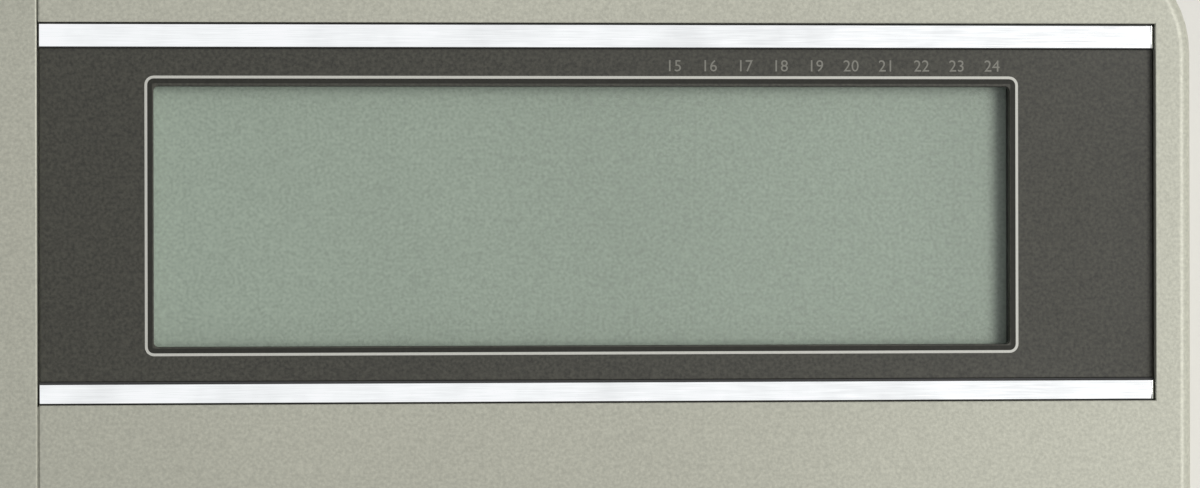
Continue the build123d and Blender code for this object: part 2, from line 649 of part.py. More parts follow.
def motor_centre():
    """The feed motor's axis, one centre distance from the drum's."""
    distance = GEAR_MODULE * (DRUM_TEETH + PINION_TEETH) / 2
    angle = math.radians(MOTOR_ANGLE)
    return DRUM_V + distance * math.cos(angle), DRUM_W + distance * math.sin(angle)


def motor_posts():
    """Where the two posts that hold the feed motor stand on the left plate."""
    v, w = motor_centre()
    return [(v + 8.5 * math.cos(math.radians(a)), w + 8.5 * math.sin(math.radians(a))) for a in (15, -80)]


def feed_motor():
    """The stepping motor that turns the drum, with its flange and two ears."""
    v, w = motor_centre()
    inner = GEAR_LEFT - 0.6
    motor = round_x(inner - 8, inner, v, w, 6.0)
    for post_v, post_w in motor_posts():
        ear = round_x(inner - 0.8, inner, post_v, post_w, 1.9)
        motor += ear
        middle = Pos(inner - 0.4, (v + post_v) / 2, (w + post_w) / 2)
        angle = math.degrees(math.atan2(post_w - w, post_v - v))
        motor += middle * Rot(angle, 0, 0) * Box(0.8, 8.5, 3.8)
    return motor - round_x(inner - 9, inner + 1, v, w, 0.9)


def motor_pinion():
    """The feed motor's pinion on its shaft."""
    v, w = motor_centre()
    half_pitch = 180 / PINION_TEETH
    gear = spur_gear(PINION_TEETH, MOTOR_ANGLE + 180 + half_pitch)
    shaft = round_x(GEAR_LEFT - 8, GEAR_LEFT + GEAR_FACE, 0, 0, 0.9 - RUNNING_GAP)
    return Pos(0, v, w) * (Pos(GEAR_LEFT, 0, 0) * gear + shaft)


def drum_gear():
    """The large gear on the drum's shaft."""
    gear = Pos(GEAR_LEFT, 0, 0) * spur_gear(DRUM_TEETH, MOTOR_ANGLE)
    gear -= round_x(GEAR_LEFT - 1, GEAR_LEFT + 4, 0, 0, DRUM_SHAFT)
    return Pos(0, DRUM_V, DRUM_W) * gear


def feed_drum():
    """The paper drum on its shaft."""
    drum = round_x(PLATE_LEFT + 1.4, PLATE_RIGHT - 1.4, 0, 0, DRUM_RADIUS)
    drum += round_x(GEAR_LEFT - 0.3, PLATE_RIGHT + 1.2, 0, 0, DRUM_SHAFT)
    return Pos(0, DRUM_V, DRUM_W) * drum


def roller_centre():
    """The pinch rollers' axis, where the paper first meets the drum."""
    reach = DRUM_RADIUS + 0.32 + 2.0
    angle = math.radians(ENTRY_ANGLE)
    return DRUM_V + reach * math.cos(angle), DRUM_W + reach * math.sin(angle)


def pinch_rollers():
    """Two rubber rollers on their shaft."""
    rollers = round_x(PLATE_LEFT - 0.25, PLATE_RIGHT + 0.25, 0, 0, 1.0)
    for x in (-25.0, 13.0):
        rollers += round_x(PLOTTER_X + x, PLOTTER_X + x + 12, 0, 0, 2.0)
    return Pos(0, *roller_centre()) * rollers


def paper_web():
    """The paper from the roll, under and round the drum, and up to the slot in the lid."""
    entry, leave = math.radians(ENTRY_ANGLE), math.radians(EXIT_ANGLE)
    centre = Vector(DRUM_V, DRUM_W)
    first = centre + Vector(math.cos(entry), math.sin(entry)) * PAPER_RADIUS
    last = centre + Vector(math.cos(leave), math.sin(leave)) * PAPER_RADIUS
    back = Vector(-math.sin(entry), math.cos(entry))
    up = Vector(math.sin(leave), -math.cos(leave))
    roll_run = (Vector(ROLL_V, ROLL_W) - first).dot(back)
    start = first + back * roll_run
    end = last + up * ((-4.2 - last.Y) / up.Y)
    wrap = EXIT_ANGLE - 360 - ENTRY_ANGLE
    line = Line(start, first) + CenterArc(centre, PAPER_RADIUS, ENTRY_ANGLE, wrap) + Line(last, end)
    section = trace(line, PAPER_THICKNESS)
    web = Plane.YZ * extrude(section, PAPER_WIDTH)
    return Pos(PLOTTER_X - PAPER_WIDTH / 2, 0, 0) * web


def paper_roll():
    """The roll of paper."""
    half = PAPER_WIDTH / 2
    roll = round_x(PLOTTER_X - half, PLOTTER_X + half, ROLL_V, ROLL_W, ROLL_RADIUS)
    return roll - round_x(PLOTTER_X - half - 1, PLOTTER_X + half + 1, ROLL_V, ROLL_W, ROLL_CORE)


def roll_spindle():
    """The spindle that the roll turns on, with a collar outside each plate."""
    spindle = round_x(PLATE_LEFT - 2.2, PLATE_RIGHT + 2.2, ROLL_V, ROLL_W, 1.9)
    spindle += round_x(PLOTTER_X - 27, PLOTTER_X + 27, ROLL_V, ROLL_W, ROLL_CORE - 0.05)
    for x in (PLATE_LEFT - 2.2, PLATE_RIGHT + 0.6):
        spindle += round_x(x, x + 1.6, ROLL_V, ROLL_W, 3.4)
    return spindle


def guide_rods():
    """The two rods that the pen carriage slides on."""
    return [round_x(PLATE_LEFT - 0.6, PLATE_RIGHT + 0.6, ROD_V, level, ROD_RADIUS) for level in ROD_LEVELS]


def pen_carriage():
    """The sliding block with the turret's axle and the lug that grips the belt."""
    half = CARRIAGE_WIDTH / 2
    body = block(-half, half, 9.8, 14.2, -21.2, -6.8)
    body -= block(-half - 1, -2.4, 9, 15, -16.9, -11.3)
    strand = PULLEY_W + PULLEY_RADIUS + BELT_THICKNESS / 2
    body += block(-0.3, 3.3, 7.1, 9.8, strand - 1.1, strand + 1.1)
    body -= block(-1, 4, 7.35, 9.25, strand - 0.4, strand + 0.4)
    for level in ROD_LEVELS:
        body -= round_x(-half - 1, half + 1, ROD_V, level, ROD_RADIUS + RUNNING_GAP)
    body += round_v(14.2, 22.9, 0, TURRET_W, 1.0)
    body += round_v(22.55, 23.0, 0, TURRET_W, 1.4)
    return Pos(CARRIAGE_HOME, 0, 0) * body


def pen_places():
    """The four pens' centres round the turret's axis, the first at the top."""
    for quarter in range(4):
        angle = math.radians(90 + 90 * quarter)
        yield CARRIAGE_HOME + PEN_CIRCLE * math.cos(angle), TURRET_W + PEN_CIRCLE * math.sin(angle)


def pen_turret():
    """The revolver that holds the four pens."""
    turret = round_v(14.6, 22.4, CARRIAGE_HOME, TURRET_W, 2.9)
    for x, w in pen_places():
        turret += round_v(14.6, 22.4, x, w, 2.1)
    turret += round_v(14.6, 15.6, CARRIAGE_HOME, TURRET_W, 5.1)
    turret -= round_v(14, 23, CARRIAGE_HOME, TURRET_W, 1.0 + RUNNING_GAP)
    for x, w in pen_places():
        turret -= round_v(15.4, 23, x, w, PEN_RADIUS)
    return turret


def pen(x, w):
    """One short pen with its stepped nose."""
    barrel = round_v(15.4, PEN_BARREL_END, x, w, PEN_RADIUS)
    length = PEN_TIP_V - PEN_BARREL_END
    nose = Pos(x, PEN_BARREL_END + length / 2, w) * Rot(-90, 0, 0) * Cone(PEN_RADIUS, 0.25, length)
    return barrel + nose


def pulley(x):
    """One flanged belt pulley."""
    wheel = round_v(7.5, 9.1, x, PULLEY_W, PULLEY_RADIUS)
    wheel += round_v(7.1, 7.5, x, PULLEY_W, PULLEY_RADIUS + 0.9)
    return wheel


def drive_pulley():
    """The pulley on the carriage motor's shaft."""
    shaft = round_v(0, 9.1, PULLEY_RIGHT, PULLEY_W, 0.9 - RUNNING_GAP)
    return pulley(PULLEY_RIGHT) + shaft


def idler_pulley():
    """The pulley at the belt's far end, on the pin of the front plate."""
    return pulley(PULLEY_LEFT) - round_v(7, 10, PULLEY_LEFT, PULLEY_W, 1.0 + RUNNING_GAP)


def carriage_belt():
    """The flat belt round both pulleys."""
    outer_radius = PULLEY_RADIUS + 0.04 + BELT_THICKNESS
    centre = (PULLEY_LEFT + PULLEY_RIGHT) / 2
    span = PULLEY_RIGHT - PULLEY_LEFT
    loop = SlotCenterToCenter(span, 2 * outer_radius) - SlotCenterToCenter(span, 2 * (PULLEY_RADIUS + 0.04))
    band = Plane.XZ * extrude(loop, 1.4)
    return Pos(centre, 9.05, PULLEY_W) * band


def carriage_motor():
    """The stepping motor in front of the frame that drives the belt."""
    motor = round_v(-5.0, 5.5, PULLEY_RIGHT, PULLEY_W, 5.2)
    motor += Pos(PULLEY_RIGHT, 5.1, PULLEY_W) * Box(16, 0.8, 5)
    return motor - round_v(-1, 6, PULLEY_RIGHT, PULLEY_W, 0.9)


# Inner boards and power


def main_board():
    """The main printed circuit under the keyboard."""
    return slab(190, 50, 1.0, BOARD_LEVEL, BOARD_LEVEL + BOARD_THICKNESS, 0, -35)


def soldered_parts():
    """The chips of both boards, and the capacitors and the round sounder on the main board."""
    top = BOARD_LEVEL + BOARD_THICKNESS + 0.05
    made = driver_chips()
    made.append(flat_package(-70, -36, top, 16, 16, 1))
    made += [flat_package(x, -36, top, 22, 10, 1) for x in (-42, -14, 44)]
    made += [round_w(top, top + 3.3, x, -20, 3.0) for x in (-85.0, 76.0, 85.0)]
    made.append(round_w(top, top + 3.0, 76, -42, 8.0) - round_w(top + 2, top + 4, 76, -42, 1.2))
    return made


def ribbon_cable():
    """The flat cable from the display board to the main board."""
    top = BOARD_LEVEL + BOARD_THICKNESS + 0.2
    route = Polyline((31, -7.75), (26, -7.9), (14, -11.2), (-10, -11.2), (-14, top), (-20, top))
    band = extrude(trace(route, 0.3), 22)
    return Pos(15, 0, 0) * (Plane.YZ * band)


def cells():
    """The four round cells in two rows, each with the cap on its positive end."""
    made = []
    for row, y in enumerate(CELL_ROWS):
        end = 1 if row else -1
        for x in (CELL_START + CELL_LENGTH / 2, CELL_START + CELL_LENGTH * 1.5 + 0.3):
            can = Pos(x - end * 0.6, y, CELL_LEVEL) * Rot(0, 90, 0) * Cylinder(CELL_RADIUS, CELL_LENGTH - 1.2)
            cap = Pos(x + end * (CELL_LENGTH / 2 - 0.65), y, CELL_LEVEL) * Rot(0, 90, 0) * Cylinder(2.7, 1.3)
            made.append(can + cap)
    return made


def contacts():
    """The plates at the ends of the cell rows, each with a raised rib at each cell."""
    middle = sum(CELL_ROWS) / 2
    made = []
    for x, side in ((BAY_START + 0.25, 1), (BAY_END - 0.25, -1)):
        plate = Pos(x, middle, CELL_LEVEL) * Box(0.4, CELL_ROWS[1] - CELL_ROWS[0] + 10, 10)
        for y in CELL_ROWS:
            plate += Pos(x + side * 0.3, y, CELL_LEVEL) * Box(0.3, 4.4, 10)
        made.append(plate)
    return made


def battery_door():
    """The door under the cells, which slides out to the right, with its grip ribs."""
    outline = place(tapered_slab(0, SIDE_TAPER)) & above(FOOT_HEIGHT)
    top = FOOT_HEIGHT + DOOR_THICKNESS
    plate = block(DOOR_LEFT + 0.3, 120, DOOR_FRONT + 0.25, DOOR_REAR - 0.25, FOOT_HEIGHT, top)
    door = plate & outline
    for rib in range(5):
        door -= Pos(80 + rib * 2.4, (DOOR_FRONT + DOOR_REAR) / 2, FOOT_HEIGHT) * Rot(0, 45, 0) * Box(0.8, 14, 0.8)
    return door


def adapter_socket():
    """The power socket at the rear, a moulded block with a round bore."""
    mouth = REAR_WALL - 0.6
    body = block(JACK_X - 4.5, JACK_X + 4.5, mouth - 11.2, mouth - 3, SOCKET_Z - 4.5, SOCKET_Z + 4.5)
    nose = Pos(JACK_X, mouth - 1.5, SOCKET_Z) * Rot(90, 0, 0) * Cylinder(JACK_NOSE, 3.0)
    bore = Pos(JACK_X, mouth - JACK_DEPTH / 2, SOCKET_Z) * Rot(90, 0, 0) * Cylinder(JACK_BORE, JACK_DEPTH)
    return body + nose - bore


def peripheral_port():
    """The multi-way socket at the rear: a block with two rows of contact holes, sunk a little in its opening."""
    face = REAR_WALL - 0.8
    width, height = PORT_SIZE
    port = block(PORT_X - width / 2, PORT_X + width / 2, face - 9, face, SOCKET_Z - height / 2, SOCKET_Z + height / 2)
    for row, count in ((-1.4, 7), (1.4, 8)):
        for pin in range(count):
            x = PORT_X + (pin - (count - 1) / 2) * 2.8
            port -= Pos(x, face, SOCKET_Z + row) * Box(1.0, 4, 1.0)
    return port


def screws():
    """The five case screws."""
    made = []
    for x, v, bottom in boss_bottom_places():
        head_top = bottom + 2.6
        screw = round_w(head_top - 1.4, head_top, x, v, 2.4)
        screw += round_w(head_top, -6.0, x, v, SCREW_RADIUS)
        made.append(screw)
    return made


def feet():
    """The four rubber feet."""
    made = []
    for x in (-90, 90):
        for y in (-60, 64):
            made.append(Pos(x, y, FOOT_HEIGHT / 2) * Cylinder(5.0, FOOT_HEIGHT))
    return made


def deck_pieces():
    """Every node drawn in the deck frame."""
    pieces = {
        "upper_case": upper_case(),
        "display_fascia": display_fascia(),
        "upper_trim_strip": trim_strip(RECESS_REAR - STRIP_GAP - UPPER_STRIP, UPPER_STRIP),
        "lower_trim_strip": trim_strip(RECESS_FRONT + STRIP_GAP, LOWER_STRIP),
        "display_lens": display_lens(),
        "liquid_crystal_cell": liquid_crystal_cell(),
        "display_frame": display_frame(),
        "display_board": display_board(),
        "contact_strips": contact_strips(),
        "key_panel": key_panel(),
        "dome_sheet": dome_sheet(),
        "key_board": key_board(),
        "power_switch": power_switch(),
        "contrast_dial": contrast_dial(),
        "printer_lid": printer_lid(),
        "lid_window": lid_window(),
        "lid_hinge_pins": hinge_pins(),
        "tear_bar": tear_bar(),
        "printer_chassis": chassis(),
        "feed_motor": feed_motor(),
        "motor_pinion": motor_pinion(),
        "drum_gear": drum_gear(),
        "feed_drum": feed_drum(),
        "pinch_rollers": pinch_rollers(),
        "paper_web": paper_web(),
        "paper_roll": paper_roll(),
        "roll_spindle": roll_spindle(),
        "guide_rods": guide_rods(),
        "pen_carriage": pen_carriage(),
        "pen_turret": pen_turret(),
        "drive_pulley": drive_pulley(),
        "idler_pulley": idler_pulley(),
        "carriage_belt": carriage_belt(),
        "carriage_motor": carriage_motor(),
        "main_board": main_board(),
        "soldered_parts": soldered_parts(),
        "ribbon_cable": ribbon_cable(),
        "case_screws": screws(),
    }
    for name, (x, w) in zip(("black_pen", "blue_pen", "green_pen", "red_pen"), pen_places()):
        pieces[name] = pen(x, w)
    for name, keys in keyboard_layout().items():
        pieces[name] = key_bank(keys)
    return pieces


def level_pieces():
    """Every node drawn straight in the part's own frame."""
    return {
        "lower_case": lower_case(),
        "battery_cells": cells(),
        "battery_contacts": contacts(),
        "battery_door": battery_door(),
        "adapter_socket": adapter_socket(),
        "peripheral_port": peripheral_port(),
        "rubber_feet": feet(),
    }


def as_shape(piece):
    """One solid as it is, or several as a group."""
    return Compound(children=piece) if isinstance(piece, list) else piece


def main():
    """Builds every node and writes its file."""
    os.makedirs("parts", exist_ok=True)
    for name, piece in deck_pieces().items():
        placed = [place(solid) for solid in piece] if isinstance(piece, list) else place(piece)
        export_step(as_shape(placed), f"parts/{name}.step")
    for name, piece in level_pieces().items():
        export_step(as_shape(piece), f"parts/{name}.step")


main()
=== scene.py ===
"""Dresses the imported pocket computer: finishes, markings, small hardware, light and camera.

Lengths are metres. Most pieces are laid out in the deck frame: X to the right, V rearwards along
the sloping top and W square to it, with W = 0 on the top surface. The matrix DECK carries that
frame into the shared one.
"""

from __future__ import annotations

import json
import logging
import math
from collections.abc import Iterable, Sequence
from dataclasses import dataclass
from enum import Enum

import bmesh
import bpy
from mathutils import Matrix, Vector


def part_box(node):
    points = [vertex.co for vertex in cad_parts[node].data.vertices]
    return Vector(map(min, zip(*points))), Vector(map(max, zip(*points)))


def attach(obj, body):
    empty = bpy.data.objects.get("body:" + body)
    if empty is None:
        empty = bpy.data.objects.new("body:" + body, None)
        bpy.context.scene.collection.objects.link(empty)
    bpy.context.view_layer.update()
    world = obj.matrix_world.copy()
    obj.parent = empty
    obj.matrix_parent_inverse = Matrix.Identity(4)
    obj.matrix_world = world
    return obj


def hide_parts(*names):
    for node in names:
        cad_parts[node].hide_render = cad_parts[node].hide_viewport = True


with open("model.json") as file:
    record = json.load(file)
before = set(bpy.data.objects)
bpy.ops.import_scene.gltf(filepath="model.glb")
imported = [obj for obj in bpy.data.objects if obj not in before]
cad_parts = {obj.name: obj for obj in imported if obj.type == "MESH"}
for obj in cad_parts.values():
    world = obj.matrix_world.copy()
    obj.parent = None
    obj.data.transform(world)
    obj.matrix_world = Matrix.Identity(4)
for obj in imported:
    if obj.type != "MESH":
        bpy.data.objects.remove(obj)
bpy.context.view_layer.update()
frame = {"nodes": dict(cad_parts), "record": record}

log = logging.getLogger("pocket_computer")
Colour = tuple[float, float, float]
Pair = tuple[float, float]
Profile = Sequence[Pair]
Socket = bpy.types.NodeSocket
Shape = bmesh.types.BMesh
Vert = bmesh.types.BMVert

MM = 0.001
MERGE = 0.001 * MM  # Vertices closer than this become one.
NEAR = 0.02 * MM  # An edge this close to a level counts as on it.
DECK_TILT = math.radians(6)
DECK_HEIGHT = 27 * MM
HALF_LENGTH = 74.4 * MM
EDGE_ROUND = 1.3 * MM
PARTING = -11 * MM


def deck_shift() -> float:
    """Centres the case's box on the shared frame's Y = 0.

    Returns:
        How far from there the deck's middle lies.
    """
    cosine, sine = math.cos(DECK_TILT), math.sin(DECK_TILT)
    rear = HALF_LENGTH * cosine - PARTING * sine
    front = (HALF_LENGTH - EDGE_ROUND) * cosine - EDGE_ROUND * sine + EDGE_ROUND
    return (front - rear) / 2


DECK = Matrix.Translation((0, deck_shift(), DECK_HEIGHT)) @ Matrix.Rotation(DECK_TILT, 4, "X")
DECK_BACK = DECK.inverted()
REAR_WALL = HALF_LENGTH * math.cos(DECK_TILT) - PARTING * math.sin(DECK_TILT) + deck_shift()
REARWARDS = Matrix.Rotation(math.radians(-90), 4, "X")


class Axis(Enum):
    """The deck's directions, as unit vectors."""

    X = (1, 0, 0)
    V = (0, 1, 0)
    W = (0, 0, 1)


def on_deck(x: float, v: float, w: float = 0.0) -> Matrix:
    """A place in the deck frame, in the shared frame, with the deck's own directions."""
    return DECK @ Matrix.Translation((x, v, w))


def linear(red: float, green: float, blue: float) -> Colour:
    """Turns a screen colour into the linear colour that a shader takes.

    Args:
        red: Its red, from 0 to 255.
        green: Its green.
        blue: Its blue.

    Returns:
        The linear colour.
    """
    shares = (red / 255, green / 255, blue / 255)
    return tuple(s / 12.92 if s <= 0.04045 else ((s + 0.055) / 1.055) ** 2.4 for s in shares)


# Finishes

NOISE_REACH = (0.3, 0.7)  # The part of a noise's range that a finish makes use of.
EDGE_REACH = (0.53, 0.62)  # The pointiness from an open surface to a rubbed edge.


class Sheet:
    """A material's node tree, with short calls to fill it."""

    def __init__(self, name: str) -> None:
        """Starts an empty material.

        Args:
            name: The material's name.
        """
        self.material = bpy.data.materials.new(name)
        self.material.use_nodes = True
        self.tree = self.material.node_tree
        self.tree.nodes.clear()
        output = self.tree.nodes.new("ShaderNodeOutputMaterial")
        self.shader = self.tree.nodes.new("ShaderNodeBsdfPrincipled")
        self.tree.links.new(self.shader.outputs["BSDF"], output.inputs["Surface"])

    def node(
        self, kind: str, settings: dict[str, object] | None = None, **inputs: object
    ) -> bpy.types.Node:
        """Adds one node.

        Args:
            kind: The node's type, without the word that all of them start with.
            settings: Properties of the node itself.
            inputs: Its sockets by name, with underscores for spaces: values or nodes' outputs.

        Returns:
            The new node.
        """
        made = self.tree.nodes.new("ShaderNode" + kind)
        for key, value in (settings or {}).items():
            setattr(made, key, value)
        for key, value in inputs.items():
            self.feed(made.inputs[key.replace("_", " ")], value)
        return made

    def feed(self, socket: Socket, value: object) -> None:
        """Fills a socket.

        Args:
            socket: The input socket.
            value: The value that it is set to, or the output that it is linked to.
        """
        if isinstance(value, Socket):
            self.tree.links.new(value, socket)
        else:
            socket.default_value = value

    def place(
        self, stretch: Sequence[float] = (1, 1, 1), centre: Sequence[float] = (0, 0, 0)
    ) -> Socket:
        """Object coordinates, moved to a centre and stretched.

        Args:
            stretch: The pattern's frequency along each axis, next to the plain one.
            centre: The point that becomes the pattern's origin.

        Returns:
            The coordinates' output.
        """
        coordinates = self.node("TexCoord").outputs["Object"]
        start = tuple(-part * scale for part, scale in zip(centre, stretch))
        made = self.node("Mapping", Vector=coordinates, Location=start, Scale=tuple(stretch))
        return made.outputs["Vector"]

    def noise(self, size: float, at: Socket, detail: float = 2.0) -> Socket:
        """A cloudy pattern.

        Args:
            size: The width of its patches.
            at: The coordinates that it reads.
            detail: How many finer layers it has.

        Returns:
            Its value, which mostly stays within NOISE_REACH.
        """
        return self.node("TexNoise", Vector=at, Scale=1 / size, Detail=detail).outputs["Fac"]

    def remap(
        self, value: Socket, low: float, high: float, to_low: float, to_high: float
    ) -> Socket:
        """Carries a value from one range to another, without leaving it."""
        ends = {"From_Min": low, "From_Max": high, "To_Min": to_low, "To_Max": to_high}
        return self.node("MapRange", Value=value, **ends).outputs["Result"]

    def spread(self, noise: Socket, low: float, high: float) -> Socket:
        """Spreads a cloudy pattern's reach over a range."""
        return self.remap(noise, *NOISE_REACH, low, high)

    def around(self, noise: Socket, middle: float, ends: Pair) -> Socket:
        """Spreads a cloudy pattern's reach over a range whose ends lie so far from a middle."""
        return self.spread(noise, middle + ends[0], middle + ends[1])

    def swing(self, noise: Socket, share: float) -> Socket:
        """A factor that a cloudy pattern moves up and down from 1 by a share."""
        return self.spread(noise, 1 - share, 1 + share)

    def rubbed(self, most: float) -> Socket:
        """How worn the surface is: 0 on the flat, the given share along raised edges."""
        return self.remap(self.node("NewGeometry").outputs["Pointiness"], *EDGE_REACH, 0, most)

    def tint(self, colour: object, factor: Socket) -> Socket:
        """Makes a colour lighter or darker.

        Args:
            colour: The colour, or an output.
            factor: What it is multiplied by.

        Returns:
            The new colour.
        """
        made = self.node("VectorMath", {"operation": "SCALE"}, Scale=factor)
        self.feed(made.inputs[0], colour)
        return made.outputs[0]

    def mix(self, share: Socket, first: object, second: object) -> Socket:
        """One colour passing into another.

        Args:
            share: How much of the second shows, from 0 to 1.
            first: The first colour, or an output.
            second: The second colour, or an output.

        Returns:
            The mixed colour.
        """
        made = self.node("Mix", {"data_type": "RGBA"})
        self.feed(made.inputs["Factor"], share)
        for socket, colour in (("A", first), ("B", second)):
            target = next(s for s in made.inputs if s.name == socket and s.type == "RGBA")
            self.feed(target, (*colour, 1) if isinstance(colour, tuple) else colour)
        return next(s for s in made.outputs if s.type == "RGBA")

    def calc(self, operation: str, first: object, second: object = 0.0) -> Socket:
        """One step of arithmetic.

        Args:
            operation: The step's name among the Math node's own.
            first: Its first value, or an output.
            second: Its second value, or an output.

        Returns:
            The result.
        """
        made = self.node("Math", {"operation": operation})
        self.feed(made.inputs[0], first)
        self.feed(made.inputs[1], second)
        return made.outputs[0]

    def times(self, first: Socket, second: Socket) -> Socket:
        """The product of two values."""
        return self.calc("MULTIPLY", first, second)

    def waves(self, along: Socket, pitch: float, kind: str = "COSINE") -> Socket:
        """Even waves of a pitch along a coordinate, from -1 to 1."""
        return self.calc(kind, self.calc("MULTIPLY", along, math.tau / pitch))

    def bump(self, height: Socket, depth: float, strength: float) -> None:
        """Lets a pattern of that depth stand out of the surface."""
        made = self.node("Bump", Height=height, Distance=depth, Strength=strength)
        self.feed(self.shader.inputs["Normal"], made.outputs["Normal"])

    def surface(self, **inputs: object) -> bpy.types.Material:
        """Fills the shader's sockets.

        Args:
            inputs: Its sockets by name, with underscores for spaces: values or nodes' outputs.

        Returns:
            The finished material.
        """
        for key, value in inputs.items():
            socket = self.shader.inputs[key.replace("_", " ")]
            colour = isinstance(value, tuple) and len(value) == 3
            self.feed(socket, (*value, 1) if colour else value)
        return self.material


@dataclass(frozen=True)
class ShellPaint:
    """The case's satin paint: warm grey with a fine metallic grain, paler along rubbed edges."""

    name: str = "champagne_paint"
    colour: Colour = linear(172.5, 173, 159.5)
    fleck: Colour = linear(205, 203, 188)
    fleck_share: float = 0.3
    fleck_reach: Pair = (0.6, 0.78)
    grain: float = 0.32 * MM
    speck_share: float = 0.25
    mottle: float = 0.13
    cloud: float = 42 * MM
    cloud_share: float = 0.03
    roughness: float = 0.42
    rough_ends: Pair = (-0.05, 0.06)
    depth: float = 0.014 * MM
    relief: float = 0.6
    worn: float = 0.1
    metallic: float = 0.12

    def material(self) -> bpy.types.Material:
        """Builds the paint.

        Returns:
            Its material.
        """
        sheet = Sheet(self.name)
        at = sheet.place()
        fine = sheet.noise(self.grain, at, 3)
        speck = sheet.noise(self.grain * self.speck_share, at, 1)
        cloud = sheet.noise(self.cloud, at, 2)
        level = sheet.times(sheet.swing(fine, self.mottle), sheet.swing(cloud, self.cloud_share))
        flecks = sheet.remap(speck, *self.fleck_reach, 0, self.fleck_share)
        base = sheet.mix(flecks, self.colour, self.fleck)
        worn = sheet.mix(sheet.rubbed(self.worn), base, self.fleck)
        sheet.bump(fine, self.depth, self.relief)
        return sheet.surface(
            Base_Color=sheet.tint(worn, level),
            Roughness=sheet.around(speck, self.roughness, self.rough_ends),
            Metallic=self.metallic,
        )


@dataclass(frozen=True)
class Moulded:
    """Moulded plastic or rubber with a sparked or fine grain."""

    name: str
    colour: Colour
    grain: float = 0.25 * MM
    roughness: float = 0.5
    contrast: float = 0.05
    depth: float = 0.012 * MM
    worn: float = 0.12
    shine: float = 0.5
    cloud_scale: float = 60
    cloud_share: float = 0.03
    rough_ends: Pair = (-0.04, 0.05)
    relief: float = 0.5
    worn_gain: float = 1.5
    worn_lift: float = 0.02

    def material(self) -> bpy.types.Material:
        """Builds the plastic.

        Returns:
            Its material.
        """
        sheet = Sheet(self.name)
        at = sheet.place()
        fine = sheet.noise(self.grain, at, 3)
        cloud = sheet.noise(self.grain * self.cloud_scale, at, 2)
        level = sheet.times(sheet.swing(fine, self.contrast), sheet.swing(cloud, self.cloud_share))
        pale = tuple(min(1.0, part * self.worn_gain + self.worn_lift) for part in self.colour)
        base = sheet.mix(sheet.rubbed(self.worn), self.colour, pale)
        sheet.bump(fine, self.depth, self.relief)
        return sheet.surface(
            Base_Color=sheet.tint(base, level),
            Roughness=sheet.around(cloud, self.roughness, self.rough_ends),
            Specular_IOR_Level=self.shine,
        )


@dataclass(frozen=True)
class Metal:
    """Metal with its grain drawn out along one direction of the deck."""

    name: str
    colour: Colour
    roughness: float = 0.3
    grain: float = 0.08 * MM
    along: Axis = Axis.X
    stretch: float = 0.02
    streak_reach: Pair = (0.94, 1.03)
    clouds: float = 0.03
    cloud_size: float = 6 * MM
    rough_ends: Pair = (-0.05, 0.07)
    depth: float = 0.003 * MM
    relief: float = 0.35

    def material(self) -> bpy.types.Material:
        """Builds the metal.

        Returns:
            Its material.
        """
        sheet = Sheet(self.name)
        frequency = tuple(self.stretch if part else 1.0 for part in self.along.value)
        streaks = sheet.noise(self.grain, sheet.place(frequency), 3)
        cloud = sheet.noise(self.cloud_size, sheet.place(), 3)
        shade = sheet.swing(cloud, self.clouds)
        level = sheet.times(shade, sheet.spread(streaks, *self.streak_reach))
        sheet.bump(streaks, self.depth, self.relief)
        return sheet.surface(
            Base_Color=sheet.tint(self.colour, level),
            Roughness=sheet.around(streaks, self.roughness, self.rough_ends),
            Metallic=1.0,
        )


@dataclass(frozen=True)
class ClearPlate:
    """A clear or smoked plate, seen through and a little glossy."""

    name: str
    colour: Colour
    cover: float
    roughness: float = 0.22
    rough_ends: Pair = (-0.04, 0.05)
    dust_size: float = 1.2 * MM
    dust_share: float = 0.04
    refraction: float = 1.49
    shine: float = 1.0

    def material(self) -> bpy.types.Material:
        """Builds the plate.

        Returns:
            Its material.
        """
        sheet = Sheet(self.name)
        dust = sheet.noise(self.dust_size, sheet.place(), 3)
        return sheet.surface(
            Base_Color=sheet.tint(self.colour, sheet.swing(dust, self.dust_share)),
            Roughness=sheet.around(dust, self.roughness, self.rough_ends),
            Alpha=self.cover,
            IOR=self.refraction,
            Specular_IOR_Level=self.shine,
        )


